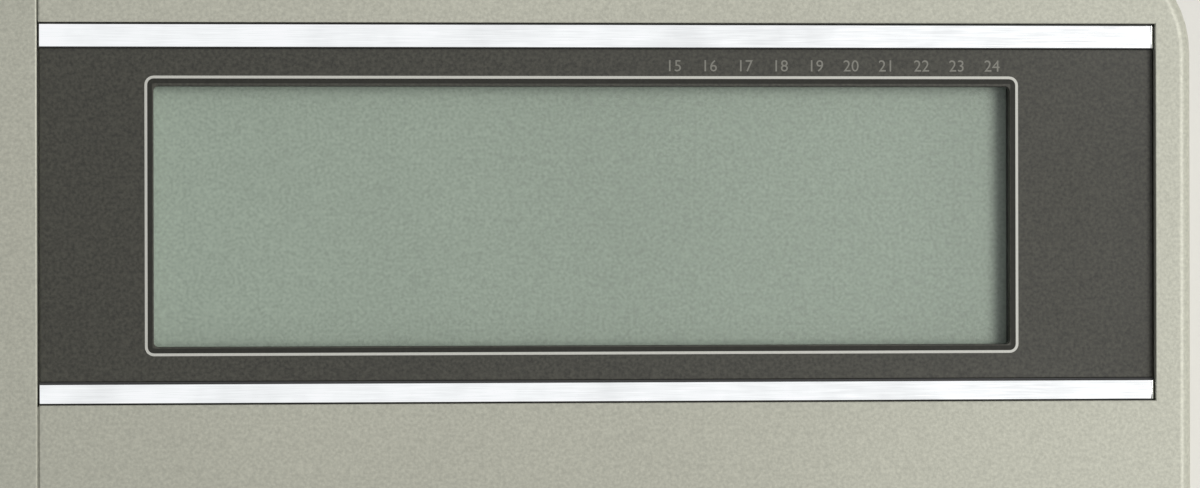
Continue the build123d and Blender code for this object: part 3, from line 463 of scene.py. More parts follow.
@dataclass(frozen=True)
class CellGlass:
    """The display's glass at rest: grey-green, mottled by its reflector, its dots barely there.

    It grows paler towards its left end, slowly over the left half and once more at the rim: this is
    painted light, a glow standing for the brighter look of its left side.
    """

    name: str = "liquid_crystal"
    colour: Colour = linear(169, 185, 169)
    grain: float = 0.32 * MM
    mottle: float = 0.15
    cloud: float = 18 * MM
    cloud_share: float = 0.025
    dot_pitch: float = 0.61 * MM
    dot_reach: Pair = (0.55, 0.9)
    dot_share: float = 0.008
    left_reach: Pair = (0.0, 45 * MM)
    left_gain: float = 1.13
    rim_reach: Pair = (1 * MM, 4 * MM)
    rim_gain: float = 1.12
    roughness: Pair = (0.42, 0.52)
    depth: float = 0.01 * MM
    relief: float = 0.3

    def material(self) -> bpy.types.Material:
        """Builds the glass.

        Returns:
            Its material.
        """
        sheet = Sheet(self.name)
        at = sheet.place()
        mottle = sheet.noise(self.grain, at, 3)
        cloud = sheet.noise(self.cloud, at, 2)
        parts = sheet.node("SeparateXYZ", Vector=at).outputs
        lines = [
            sheet.remap(sheet.waves(parts[part], self.dot_pitch), *self.dot_reach, 0, 1)
            for part in ("X", "Y")
        ]
        grid = sheet.calc("MAXIMUM", *lines)
        level = sheet.times(sheet.swing(mottle, self.mottle), sheet.swing(cloud, self.cloud_share))
        # The last two gains are painted light: a brighter glow over the left half and at the left
        # rim.
        for gain in (
            sheet.remap(grid, 0, 1, 1 - self.dot_share, 1 + self.dot_share),
            sheet.remap(parts["X"], *self.left_reach, self.left_gain, 1),
            sheet.remap(parts["X"], *self.rim_reach, self.rim_gain, 1),
        ):
            level = sheet.times(level, gain)
        sheet.bump(mottle, self.depth, self.relief)
        return sheet.surface(
            Base_Color=sheet.tint(self.colour, level),
            Roughness=sheet.spread(mottle, *self.roughness),
        )


@dataclass(frozen=True)
class Print:
    """Printed ink, a little uneven in its cover."""

    name: str
    colour: Colour
    grain: float = 0.15 * MM
    cover_reach: Pair = (0.94, 1.05)
    roughness: Pair = (0.45, 0.6)

    def material(self) -> bpy.types.Material:
        """Builds the ink.

        Returns:
            Its material.
        """
        sheet = Sheet(self.name)
        cover = sheet.noise(self.grain, sheet.place(), 2)
        return sheet.surface(
            Base_Color=sheet.tint(self.colour, sheet.spread(cover, *self.cover_reach)),
            Roughness=sheet.spread(cover, *self.roughness),
        )


@dataclass(frozen=True)
class RollPaper:
    """Uncoated paper with its fibres. Wound round a centre, its turns show at the roll's ends."""

    name: str
    colour: Colour = linear(240, 238, 228)
    centre: Sequence[float] | None = None
    fibre: float = 0.3 * MM
    fibre_reach: Pair = (0.965, 1.02)
    turn_pitch: float = 0.32 * MM
    turn_reach: Pair = (0.9, 1.0)
    roughness: float = 0.85
    depth: float = 0.01 * MM
    relief: float = 0.4

    def material(self) -> bpy.types.Material:
        """Builds the paper.

        Returns:
            Its material.
        """
        sheet = Sheet(self.name)
        at = sheet.place(centre=self.centre or (0, 0, 0))
        fibre = sheet.noise(self.fibre, at, 4)
        level = sheet.spread(fibre, *self.fibre_reach)
        if self.centre:
            flat = sheet.node("Mapping", Vector=at, Scale=(0, 1, 1)).outputs["Vector"]
            reach = sheet.node("VectorMath", {"operation": "LENGTH"}, Vector=flat).outputs["Value"]
            turns = sheet.waves(reach, self.turn_pitch, "SINE")
            level = sheet.times(level, sheet.remap(turns, -1, 1, *self.turn_reach))
        sheet.bump(fibre, self.depth, self.relief)
        return sheet.surface(Base_Color=sheet.tint(self.colour, level), Roughness=self.roughness)


@dataclass(frozen=True)
class BoardMask:
    """A circuit board's green mask with the tracks showing through."""

    name: str = "board_mask"
    colour: Colour = linear(38, 92, 58)
    track: Colour = linear(84, 142, 92)
    pitch: float = 2.54 * MM
    unevenness: float = 0.6
    track_reach: Pair = (0.05, 0.09)
    roughness: float = 0.32
    depth: float = 0.03 * MM
    relief: float = 0.6

    def material(self) -> bpy.types.Material:
        """Builds the board.

        Returns:
            Its material.
        """
        sheet = Sheet(self.name)
        cells = sheet.node(
            "TexVoronoi",
            {"distance": "MANHATTAN", "feature": "DISTANCE_TO_EDGE"},
            Vector=sheet.place(),
            Scale=1 / self.pitch,
            Randomness=self.unevenness,
        )
        track = sheet.remap(cells.outputs["Distance"], *self.track_reach, 1, 0)
        sheet.bump(track, self.depth, self.relief)
        return sheet.surface(
            Base_Color=sheet.mix(track, self.colour, self.track), Roughness=self.roughness
        )


@dataclass(frozen=True)
class Film:
    """The flat cable's film, with its conductors side by side."""

    name: str = "cable_film"
    colour: Colour = linear(196, 150, 84)
    conductor: Colour = linear(150, 96, 48)
    pitch: float = 1.25 * MM
    strip_reach: Pair = (-0.1, 0.2)
    roughness: float = 0.3
    depth: float = 0.05 * MM
    relief: float = 0.5

    def material(self) -> bpy.types.Material:
        """Builds the film.

        Returns:
            Its material.
        """
        sheet = Sheet(self.name)
        along = sheet.node("SeparateXYZ", Vector=sheet.place()).outputs["X"]
        strip = sheet.remap(sheet.waves(along, self.pitch), *self.strip_reach, 0, 1)
        sheet.bump(strip, self.depth, self.relief)
        colour = sheet.mix(strip, self.colour, self.conductor)
        return sheet.surface(Base_Color=colour, Roughness=self.roughness)


@dataclass(frozen=True)
class CellSleeve:
    """The sleeve of a round cell: dark, with one plain band near an end."""

    name: str = "cell_sleeve"
    colour: Colour = linear(44, 50, 58)
    band: Colour = linear(178, 150, 92)
    band_pitch: float = 50.3 * MM
    band_reach: Pair = (0.7, 0.72)
    wrinkle: float = 3 * MM
    wrinkle_stretch: tuple[float, float, float] = (0.2, 1, 1)
    roughness: Pair = (0.22, 0.34)
    depth: float = 0.05 * MM
    relief: float = 0.3

    def material(self) -> bpy.types.Material:
        """Builds the sleeve.

        Returns:
            Its material.
        """
        sheet = Sheet(self.name)
        along = sheet.node("SeparateXYZ", Vector=sheet.place()).outputs["X"]
        share = sheet.remap(sheet.waves(along, self.band_pitch), *self.band_reach, 0, 1)
        wrinkle = sheet.noise(self.wrinkle, sheet.place(self.wrinkle_stretch), 2)
        sheet.bump(wrinkle, self.depth, self.relief)
        return sheet.surface(
            Base_Color=sheet.mix(share, self.colour, self.band),
            Roughness=sheet.spread(wrinkle, *self.roughness),
        )


class Finishes:
    """Every material of the object, built once."""

    def __init__(self) -> None:
        """Builds the materials."""
        self.shell = ShellPaint().material()
        self.fascia = Moulded(
            "fascia_print",
            linear(59, 58.5, 52),
            0.32 * MM,
            0.5,
            contrast=0.45,
            depth=0.01 * MM,
            worn=0.05,
            shine=0.3,
        ).material()
        self.outline = Print("outline_print", linear(198, 198, 191)).material()
        # Painted shade: a dark ring inside the outline that stands for the window's shaded chamfer.
        self.border = Moulded(
            "window_shade_ring", linear(45, 45, 41), 0.3 * MM, 0.6, contrast=0.15, shine=0.12
        ).material()
        self.figures = Print("figure_print", linear(118, 117, 109)).material()
        self.key_print = Print("key_print", linear(214, 210, 196)).material()
        self.deck_print = Print("deck_print", linear(70, 68, 62)).material()
        self.trim = Metal("satin_aluminium", (0.96, 0.972, 0.966), 0.13, clouds=0.08).material()
        self.lens = ClearPlate("display_window", (0.1, 0.105, 0.1), 0.1, 0.3).material()
        # The seat is made dark as painted shade, so that its walls read as the window's shaded
        # wall.
        self.seat = Moulded("dark_seat_shade", linear(30, 30, 27), 0.2 * MM, 0.8, contrast=0.1).material()
        self.smoked = ClearPlate("smoked_window", (0.03, 0.026, 0.022), 0.42, 0.08).material()
        self.glass = CellGlass().material()
        self.panel = Moulded(
            "key_panel_print", linear(62, 61, 57), 0.2 * MM, 0.5, contrast=0.08
        ).material()
        key = {"grain": 0.18 * MM, "roughness": 0.46, "depth": 0.01 * MM, "worn": 0.3}
        self.keys = Moulded("key_plastic", linear(88, 85, 78), **key).material()
        self.grey_keys = Moulded("grey_key_plastic", linear(126, 123, 113), **key).material()
        self.black = Moulded("black_plastic", linear(34, 34, 34), 0.2 * MM, 0.42, 0.1).material()
        self.natural = Moulded(
            "gear_plastic", linear(228, 225, 212), 0.3 * MM, 0.4, contrast=0.02
        ).material()
        self.rubber = Moulded(
            "dark_rubber", linear(40, 40, 40), 0.3 * MM, 0.75, contrast=0.12, depth=0.02 * MM
        ).material()
        self.drum = Moulded(
            "ground_drum", linear(58, 58, 58), 0.16 * MM, 0.7, contrast=0.2, depth=0.03 * MM
        ).material()
        self.steel = Metal(
            "plated_steel", (0.58, 0.58, 0.565), 0.32, 0.12 * MM, Axis.X, stretch=0.1, clouds=0.08
        ).material()
        self.rod = Metal("ground_steel", (0.72, 0.72, 0.72), 0.18, 0.05 * MM, Axis.X).material()
        self.screw = Metal(
            "screw_steel", (0.56, 0.56, 0.56), 0.28, 0.1 * MM, Axis.W, stretch=0.3, clouds=0.1
        ).material()
        self.can = Metal(
            "motor_can", (0.6, 0.6, 0.6), 0.3, 0.1 * MM, Axis.V, stretch=0.2, clouds=0.06
        ).material()
        self.contact = Metal(
            "gilt_contact", (0.86, 0.68, 0.38), 0.25, 0.1 * MM, Axis.V, stretch=0.2
        ).material()
        self.paper = RollPaper("paper").material()
        self.board = BoardMask().material()
        self.film = Film().material()
        self.sleeve = CellSleeve().material()

    def ink(self, name: str, colour: Colour) -> bpy.types.Material:
        """Builds one pen's glossy plastic.

        Args:
            name: The pen's node.
            colour: The colour of its ink.

        Returns:
            Its material.
        """
        return Moulded(
            f"{name}_plastic", colour, 0.4 * MM, 0.24, contrast=0.03, depth=0.004 * MM, worn=0.2
        ).material()


# Making pieces


@dataclass(frozen=True)
class Easing:
    """Which sharp edges are rounded off, and how far: those within a span of the deck frame."""

    width: float
    low: float = -1.0
    high: float = 1.0
    segments: int = 2
    clamp: bool = True
    sharper_than: float = math.radians(35)
    left: float = -1.0
    right: float = 1.0

    def takes(self, edge: bmesh.types.BMEdge) -> bool:
        """Tells whether an edge is one of them.

        Args:
            edge: The edge.

        Returns:
            Whether it is sharp enough and within the span.
        """
        if not edge.is_manifold or edge.calc_face_angle(0) < self.sharper_than:
            return False
        ends = [DECK_BACK @ vert.co for vert in edge.verts]
        level = all(self.low <= end.z <= self.high for end in ends)
        return level and all(self.left <= end.x <= self.right for end in ends)


def smooth_patches(vert: Vert) -> list[list[bmesh.types.BMLoop]]:
    """Groups the face corners round a vertex.

    Args:
        vert: The vertex.

    Returns:
        Groups of corners that only sharp edges divide.
    """
    waiting = {loop.face: loop for loop in vert.link_loops}
    patches = []
    while waiting:
        _, first = waiting.popitem()
        patch = [first]
        for loop in patch:
            for edge in (loop.edge, loop.link_loop_prev.edge):
                if edge.smooth:
                    patch += [waiting.pop(face) for face in edge.link_faces if face in waiting]
        patches.append(patch)
    return patches


def patch_normal(patch: Sequence[bmesh.types.BMLoop], areas: Sequence[float]) -> Vector:
    """Finds the one normal of a patch, led by its wide planes, so that these go on looking flat.

    Args:
        patch: The face corners that share the normal.
        areas: The area of every face, by its index.

    Returns:
        The normal.
    """
    same_plane, gain, power = 0.99996, 3, 3
    planes: list[tuple[Vector, float, float]] = []
    for loop in patch:
        normal, area, angle = loop.face.normal, areas[loop.face.index], loop.calc_angle()
        for place, (known, known_area, known_angle) in enumerate(planes):
            if known.dot(normal) > same_plane:
                planes[place] = (known, known_area + area, known_angle + angle)
                break
        else:
            planes.append((normal, area, angle))
    widest = max(area for _, area, _ in planes) or 1.0
    total = Vector()
    for normal, area, angle in planes:
        total += normal * angle * min(1.0, gain * area / widest) ** power
    return total.normalized()


def corner_normals(shape: Shape) -> list[Vector]:
    """Finds every face corner's shading normal.

    Args:
        shape: The bmesh, its sharp edges marked.

    Returns:
        The normals, in the mesh's own order.
    """
    shape.normal_update()
    shape.faces.index_update()
    areas = [face.calc_area() for face in shape.faces]
    normals = {}
    for vert in shape.verts:
        for patch in smooth_patches(vert):
            normal = patch_normal(patch, areas)
            for loop in patch:
                normals[loop] = normal
    return [normals[loop] for face in shape.faces for loop in face.loops]


def finish_piece(
    name: str,
    shape: Shape,
    body: str,
    material: bpy.types.Material,
    replaces: Iterable[str] = (),
    smooth_angle: float = 40,
) -> bpy.types.Object:
    """Turns a bmesh into a piece of the object.

    Args:
        name: The piece's name.
        shape: Its mesh, in the shared frame. It is freed here.
        body: The body that carries it.
        material: Its finish.
        replaces: The nodes that it stands for.
        smooth_angle: Edges sharper than this many degrees stay sharp in the shading.

    Returns:
        The new object.
    """
    for face in shape.faces:
        face.smooth = True
    for edge in shape.edges:
        edge.smooth = edge.is_manifold and edge.calc_face_angle(0) < math.radians(smooth_angle)
    normals = corner_normals(shape)
    mesh = bpy.data.meshes.new(name)
    shape.to_mesh(mesh)
    shape.free()
    mesh.normals_split_custom_set(normals)
    mesh.materials.append(material)
    piece = bpy.data.objects.new(name, mesh)
    bpy.context.scene.collection.objects.link(piece)
    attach(piece, body)
    if replaces:
        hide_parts(*replaces)
    log.info("%s: %d faces on %s", name, len(mesh.polygons), body)
    return piece


def body_of(node: str) -> str:
    """The body that carries a node."""
    bodies = frame["record"]["behaviour"]["bodies"]
    return next(body for body, nodes in bodies.items() if node in nodes)


def deck_box(node: str) -> tuple[Vector, Vector]:
    """Measures a node in the deck frame.

    Args:
        node: The node's name.

    Returns:
        Its lowest and its highest corner.
    """
    points = [DECK_BACK @ vert.co for vert in frame["nodes"][node].data.vertices]
    low = Vector(min(point[part] for point in points) for part in range(3))
    high = Vector(max(point[part] for point in points) for part in range(3))
    return low, high


def slot_of(node: str) -> str:
    """The record's material slot of a node."""
    parts = frame["record"]["subparts"]
    return next(part["material_slot"] for part in parts if part["node"] == node)


def stand_in(
    node: str, shape: Shape, material: bpy.types.Material, smooth_angle: float = 40
) -> bpy.types.Object:
    """Turns a bmesh into the piece that stands for a node, on the node's own body.

    Args:
        node: The node that the piece replaces.
        shape: The piece's mesh, in the shared frame. It is freed here.
        material: Its finish.
        smooth_angle: Edges sharper than this many degrees stay sharp in the shading.

    Returns:
        The new piece.
    """
    return finish_piece(
        f"{node}_dressed", shape, body_of(node), material, (node,), smooth_angle
    )


def ease(shape: Shape, easings: Iterable[Easing]) -> None:
    """Rounds the edges that each easing takes.

    Args:
        shape: The bmesh.
        easings: What is rounded, one easing after the other.
    """
    for easing in easings:
        bmesh.ops.bevel(
            shape,
            geom=[edge for edge in shape.edges if easing.takes(edge)],
            offset=easing.width,
            offset_type="OFFSET",
            affect="EDGES",
            segments=easing.segments,
            profile=0.5,
            material=-1,
            clamp_overlap=easing.clamp,
        )


def eased_copy(node: str, material: bpy.types.Material, *easings: Easing) -> bpy.types.Object:
    """Stands in for a node with the same shape, its loose triangles joined and its edges eased.

    Args:
        node: The node to copy.
        material: The copy's finish.
        easings: The edges to round, one after the other.

    Returns:
        The new piece.
    """
    shape = bmesh.new()
    shape.from_mesh(frame["nodes"][node].data)
    bmesh.ops.remove_doubles(shape, verts=shape.verts, dist=MERGE)
    ease(shape, easings)
    return stand_in(node, shape, material)


def text_shape(words: str, height: float, depth: float) -> bpy.types.Mesh:
    """Plain lettering as a closed mesh, centred on its origin and facing up.

    Args:
        words: The characters.
        height: The height of a capital.
        depth: How thick the lettering is.

    Returns:
        The mesh.
    """
    cap_share, curve_steps, flat_angle = 0.73, 3, math.radians(1)
    curve = bpy.data.curves.new("lettering", "FONT")
    curve.body = words
    curve.size = height / cap_share
    curve.extrude = depth / 2
    curve.resolution_u = curve_steps
    curve.align_x = "CENTER"
    curve.align_y = "CENTER"
    holder = bpy.data.objects.new("lettering", curve)
    mesh = bpy.data.meshes.new_from_object(holder)
    bpy.data.objects.remove(holder)
    bpy.data.curves.remove(curve)
    shape = bmesh.new()
    shape.from_mesh(mesh)
    bmesh.ops.remove_doubles(shape, verts=shape.verts, dist=MERGE)
    bmesh.ops.dissolve_limit(shape, angle_limit=flat_angle, verts=shape.verts, edges=shape.edges)
    shape.to_mesh(mesh)
    shape.free()
    return mesh


def add_mesh(shape: Shape, mesh: bpy.types.Mesh, place: Matrix) -> None:
    """Adds a mesh to a bmesh.

    Args:
        shape: The bmesh that takes it.
        mesh: The mesh, which is removed here.
        place: Where it goes.
    """
    mesh.transform(place)
    shape.from_mesh(mesh)
    bpy.data.meshes.remove(mesh)


def raise_faces(shape: Shape, faces: Sequence[bmesh.types.BMFace], rise: Sequence[float]) -> None:
    """Thickens flat faces into a closed plate whose faces point outwards.

    Args:
        shape: The bmesh that holds them.
        faces: The faces.
        rise: The way from them to the plate's other side.
    """
    raised = bmesh.ops.extrude_face_region(shape, geom=faces, use_keep_orig=True)
    moved = [item for item in raised["geom"] if isinstance(item, Vert)]
    bmesh.ops.translate(shape, verts=moved, vec=rise)
    bmesh.ops.recalc_face_normals(shape, faces=shape.faces)


def plate_shape(points: Profile, depth: float) -> bpy.types.Mesh:
    """Makes an outline into a thin closed plate, with its middle level at the origin.

    Args:
        points: The outline's corners, in order.
        depth: The plate's thickness.

    Returns:
        The mesh.
    """
    shape = bmesh.new()
    verts = [bmesh.ops.create_vert(shape, co=(x, y, -depth / 2))["vert"][0] for x, y in points]
    raise_faces(shape, [shape.faces.new(verts)], (0, 0, depth))
    mesh = bpy.data.meshes.new("plate")
    shape.to_mesh(mesh)
    shape.free()
    return mesh


def rounded_ring(
    shape: Shape, size: Pair, corner: float, rim: float, depth: float, place: Matrix
) -> None:
    """Adds a flat ring with rounded corners.

    Args:
        shape: The bmesh that takes the ring.
        size: Its outer size along X and Y.
        corner: The radius of its outer corners.
        rim: The ring's width.
        depth: Its thickness, upwards from the place.
        place: Where it lies.
    """
    matrix = place @ Matrix.Diagonal((*size, 1, 1))
    square = bmesh.ops.create_grid(shape, x_segments=1, y_segments=1, size=0.5, matrix=matrix)
    rounded = bmesh.ops.bevel(
        shape,
        geom=square["verts"],
        offset=corner,
        offset_type="OFFSET",
        affect="VERTICES",
        segments=6,
        profile=0.5,
        material=-1,
    )
    whole = faces_round(rounded["verts"])
    inset = bmesh.ops.inset_region(
        shape, faces=whole, thickness=rim, depth=0, use_boundary=True, use_even_offset=True
    )
    bmesh.ops.delete(shape, geom=whole, context="FACES")
    up = (place.to_3x3() @ Vector((0, 0, 1))).normalized()
    raise_faces(shape, inset["faces"], up * depth)


def turned(shape: Shape, profile: Profile, place: Matrix, steps: int = 32) -> None:
    """Adds a turned solid, whose profile runs from one end of its axis to the other.

    Args:
        shape: The bmesh that takes the solid.
        profile: Its radius and height at each step, in millimetres; a radius of 0 closes an end.
        place: Where its axis stands. It is turned round the place's Z.
        steps: The number of sides.
    """
    points = [(radius * MM, 0, height * MM) for radius, height in profile]
    verts = [bmesh.ops.create_vert(shape, co=point)["vert"][0] for point in points]
    edges = [shape.edges.new(pair) for pair in zip(verts, verts[1:])]
    bmesh.ops.spin(
        shape,
        geom=verts + edges,
        axis=(0, 0, 1),
        cent=(0, 0, 0),
        angle=math.tau,
        steps=steps,
        use_merge=True,
    )
    made = connected(verts[0])
    bmesh.ops.remove_doubles(shape, verts=made, dist=MERGE / 2)
    made = connected(next(vert for vert in made if vert.is_valid))
    bmesh.ops.transform(shape, matrix=place, verts=made)
    bmesh.ops.recalc_face_normals(shape, faces=faces_round(made))


def crossed_screw(shape: Shape, shank: float, place: Matrix) -> None:
    """Adds one pan-headed screw that hangs head down, with a crossed slot in its head.

    Args:
        shape: The bmesh that takes the screw.
        shank: The length of its shank, in millimetres.
        place: Where shank and head meet. The shank runs up the place's Z.
    """
    slot_half, slot_reach, slot_deep = 0.26 * MM, 1.15 * MM, 0.7 * MM
    face = -1.4
    head = ((1.6, face), (2.05, -1.34), (2.32, -1.15), (2.4, -0.85), (2.4, 0))
    stem = ((1.2, 0), (1.2, shank), (0, shank))
    screw = bmesh.new()
    turned(screw, head + stem, Matrix.Identity(4))
    rim = [edge for edge in screw.edges if edge.is_boundary]
    corners = []
    for quarter in range(4):
        turn = Matrix.Rotation(quarter * math.pi / 2, 3, "Z")
        for x, y in ((slot_half, slot_half), (slot_half, slot_reach), (-slot_half, slot_reach)):
            corners.append(turn @ Vector((x, y, face * MM)))
    verts = [bmesh.ops.create_vert(screw, co=corner)["vert"][0] for corner in corners]
    slot = [screw.edges.new(pair) for pair in zip(verts, verts[1:] + verts[:1])]
    bmesh.ops.triangle_fill(screw, edges=rim + slot, use_beauty=True)
    inner = [face for face in screw.faces if all(vert in verts for vert in face.verts)]
    bmesh.ops.delete(screw, geom=inner, context="FACES_ONLY")
    sunk = bmesh.ops.extrude_edge_only(screw, edges=slot)["geom"]
    bottom = [item for item in sunk if isinstance(item, Vert)]
    bmesh.ops.translate(screw, verts=bottom, vec=(0, 0, slot_deep))
    sides = [item for item in sunk if isinstance(item, bmesh.types.BMEdge)]
    bmesh.ops.contextual_create(screw, geom=sides)
    bmesh.ops.recalc_face_normals(screw, faces=screw.faces)
    mesh = bpy.data.meshes.new("screw")
    screw.to_mesh(mesh)
    screw.free()
    add_mesh(shape, mesh, place)


def connected(start: Vert) -> list[Vert]:
    """Finds every vertex that edges lead to.

    Args:
        start: The vertex that they start from.

    Returns:
        The vertices, the first one among them.
    """
    seen = {start}
    found = [start]
    for vert in found:
        for edge in vert.link_edges:
            other = edge.other_vert(vert)
            if other not in seen:
                seen.add(other)
                found.append(other)
    return found


def faces_round(verts: Iterable[Vert]) -> list[bmesh.types.BMFace]:
    """The faces that meet at some vertices, each one once, and in the same order in every run."""
    return list(dict.fromkeys(face for vert in verts for face in vert.link_faces))


def block(shape: Shape, size: Sequence[float], place: Matrix) -> None:
    """Adds a box of that size with its middle at the place."""
    bmesh.ops.create_cube(shape, size=1, matrix=place @ Matrix.Diagonal((*size, 1)))


def deck_block(shape: Shape, low: Sequence[float], high: Sequence[float]) -> None:
    """Adds a box that lies square in the deck frame.

    Args:
        shape: The bmesh that takes the box.
        low: Its lowest corner in the deck frame.
        high: Its highest corner.
    """
    size = [top - bottom for bottom, top in zip(low, high)]
    middle = [(top + bottom) / 2 for bottom, top in zip(low, high)]
    block(shape, size, on_deck(*middle))


# Sub-assemblies


@dataclass
class Display:
    """The dark panel, its bars, the window with its light outline, and the glass."""

    finishes: Finishes
    centre: Pair = (43.88 * MM, 47.07 * MM)
    outline_size: Pair = (87.54 * MM, 27.8 * MM)
    outline_width: float = 0.27 * MM
    outline_corner: float = 0.9 * MM
    fascia_level: float = -1.0 * MM
    fascia_edge: float = 0.1 * MM
    glass_edge: float = 0.12 * MM
    print_depth: float = 0.02 * MM
    columns: int = 24
    first_column: int = 15
    figure_height: float = 1.2 * MM
    figure_row: float = 61.95 * MM
    window_centre: Pair = (43.9 * MM, 47.0 * MM)
    window_size: Pair = (85.8 * MM, 25.9 * MM)
    border_rim: float = 0.48 * MM
    seat_drop: float = 0.09 * MM
    seat_rise: float = 0.04 * MM
    bars_grown: tuple[tuple[str, float, float], ...] = (
        ("upper_trim_strip", 0.12 * MM, 0.02 * MM),
        ("lower_trim_strip", 0.05 * MM, -0.03 * MM),
    )
    bar_reach: float = 0.2 * MM
    bar_edge: float = 0.12 * MM
    bar_end: float = 0.4 * MM
    # The dark strips in the gaps round the bars, which are painted shade.
    tape_width: float = 0.2 * MM
    tape_end: float = 0.08 * MM
    tape_rise: float = 1.3 * MM

    def make(self) -> None:
        """Builds and dresses the display section."""
        eased_copy("display_fascia", self.finishes.fascia, Easing(self.fascia_edge))
        self.bars()
        self.lens()
        eased_copy("liquid_crystal_cell", self.finishes.glass, Easing(self.glass_edge))
        eased_copy("display_frame", self.finishes.steel)
        eased_copy("display_board", self.finishes.board)
        eased_copy("contact_strips", self.finishes.rubber)
        self.outline()
        self.column_figures()

    def bars(self) -> None:
        """The bright bars, finely bevelled, and more so at their right ends, with dark strips in
        the gaps round them as painted shade.
        """
        gap_shade = bmesh.new()
        for node, front, rear in self.bars_grown:
            low, high = deck_box(node)
            low -= Vector((0, front, 0))
            high += Vector((self.bar_reach, rear, 0))
            shape = bmesh.new()
            deck_block(shape, low, high)
            under, over = high.z - NEAR / 2, high.z + NEAR / 2
            end = Easing(self.bar_end, under, over, segments=4, left=high.x - NEAR / 2)
            ease(shape, (end, Easing(self.bar_edge, under, over, segments=3)))
            stand_in(node, shape, self.finishes.trim, smooth_angle=60)
            # Dark strips in the gaps beside and past each bar: painted shade for the deep gaps.
            top = low.z + self.tape_rise
            deck_block(gap_shade, (low.x, high.y, low.z), (high.x, high.y + self.tape_width - rear, top))
            deck_block(gap_shade, (low.x, low.y - self.tape_width + front, low.z), (high.x, low.y, top))
            deck_block(gap_shade, (high.x, low.y, low.z), (high.x + self.tape_end, high.y, top))
        finish_piece("trim_gap_shade", gap_shade, "case", self.finishes.rubber)

    def lens(self) -> None:
        """The clear sheet in its dark seat, whose walls show round the glass. The walls are real;
        their dark colour is painted shade for the window's shaded wall.
        """
        low, high = deck_box("display_lens")
        left, right = (self.window_centre[0] + side * self.window_size[0] / 2 for side in (-1, 1))
        front, rear = (self.window_centre[1] + side * self.window_size[1] / 2 for side in (-1, 1))
        shape = bmesh.new()
        deck_block(shape, (left, front, low.z), (right, rear, high.z))
        stand_in("display_lens", shape, self.finishes.lens)
        seat = bmesh.new()
        foot, top = low.z - self.seat_drop, high.z + self.seat_rise
        deck_block(seat, (low.x, low.y, foot), (high.x, front, top))
        deck_block(seat, (low.x, rear, foot), (high.x, high.y, top))
        deck_block(seat, (low.x, front, foot), (left, rear, top))
        deck_block(seat, (right, front, foot), (high.x, rear, top))
        finish_piece("lens_seat", seat, "case", self.finishes.seat)

    def outline(self) -> None:
        """The light line printed round the window, and inside it a darker ring of painted shade,
        standing for the window's shaded chamfer.
        """
        shape = bmesh.new()
        place = on_deck(*self.centre, self.fascia_level)
        size, corner, width = self.outline_size, self.outline_corner, self.outline_width
        rounded_ring(shape, size, corner, width, self.print_depth, place)
        finish_piece("display_outline", shape, "case", self.finishes.outline)
        # The darker ring is painted shade for the window's shaded chamfer.
        border = bmesh.new()
        inner = (size[0] - 2 * width, size[1] - 2 * width)
        rounded_ring(border, inner, corner - width, self.border_rim, self.print_depth / 2, place)
        finish_piece("display_window_shade", border, "case", self.finishes.border)

    def column_figures(self) -> None:
        """Plain numbers over the last columns of the display."""
        shape = bmesh.new()
        pitch = self.window_size[0] / self.columns
        left = self.window_centre[0] - self.window_size[0] / 2
        level = self.fascia_level + self.print_depth / 2
        for column in range(self.first_column, self.columns + 1):
            x = left + (column - 0.5) * pitch
            mesh = text_shape(str(column), self.figure_height, self.print_depth)
            add_mesh(shape, mesh, on_deck(x, self.figure_row, level))
        finish_piece("column_figures", shape, "case", self.finishes.figures)


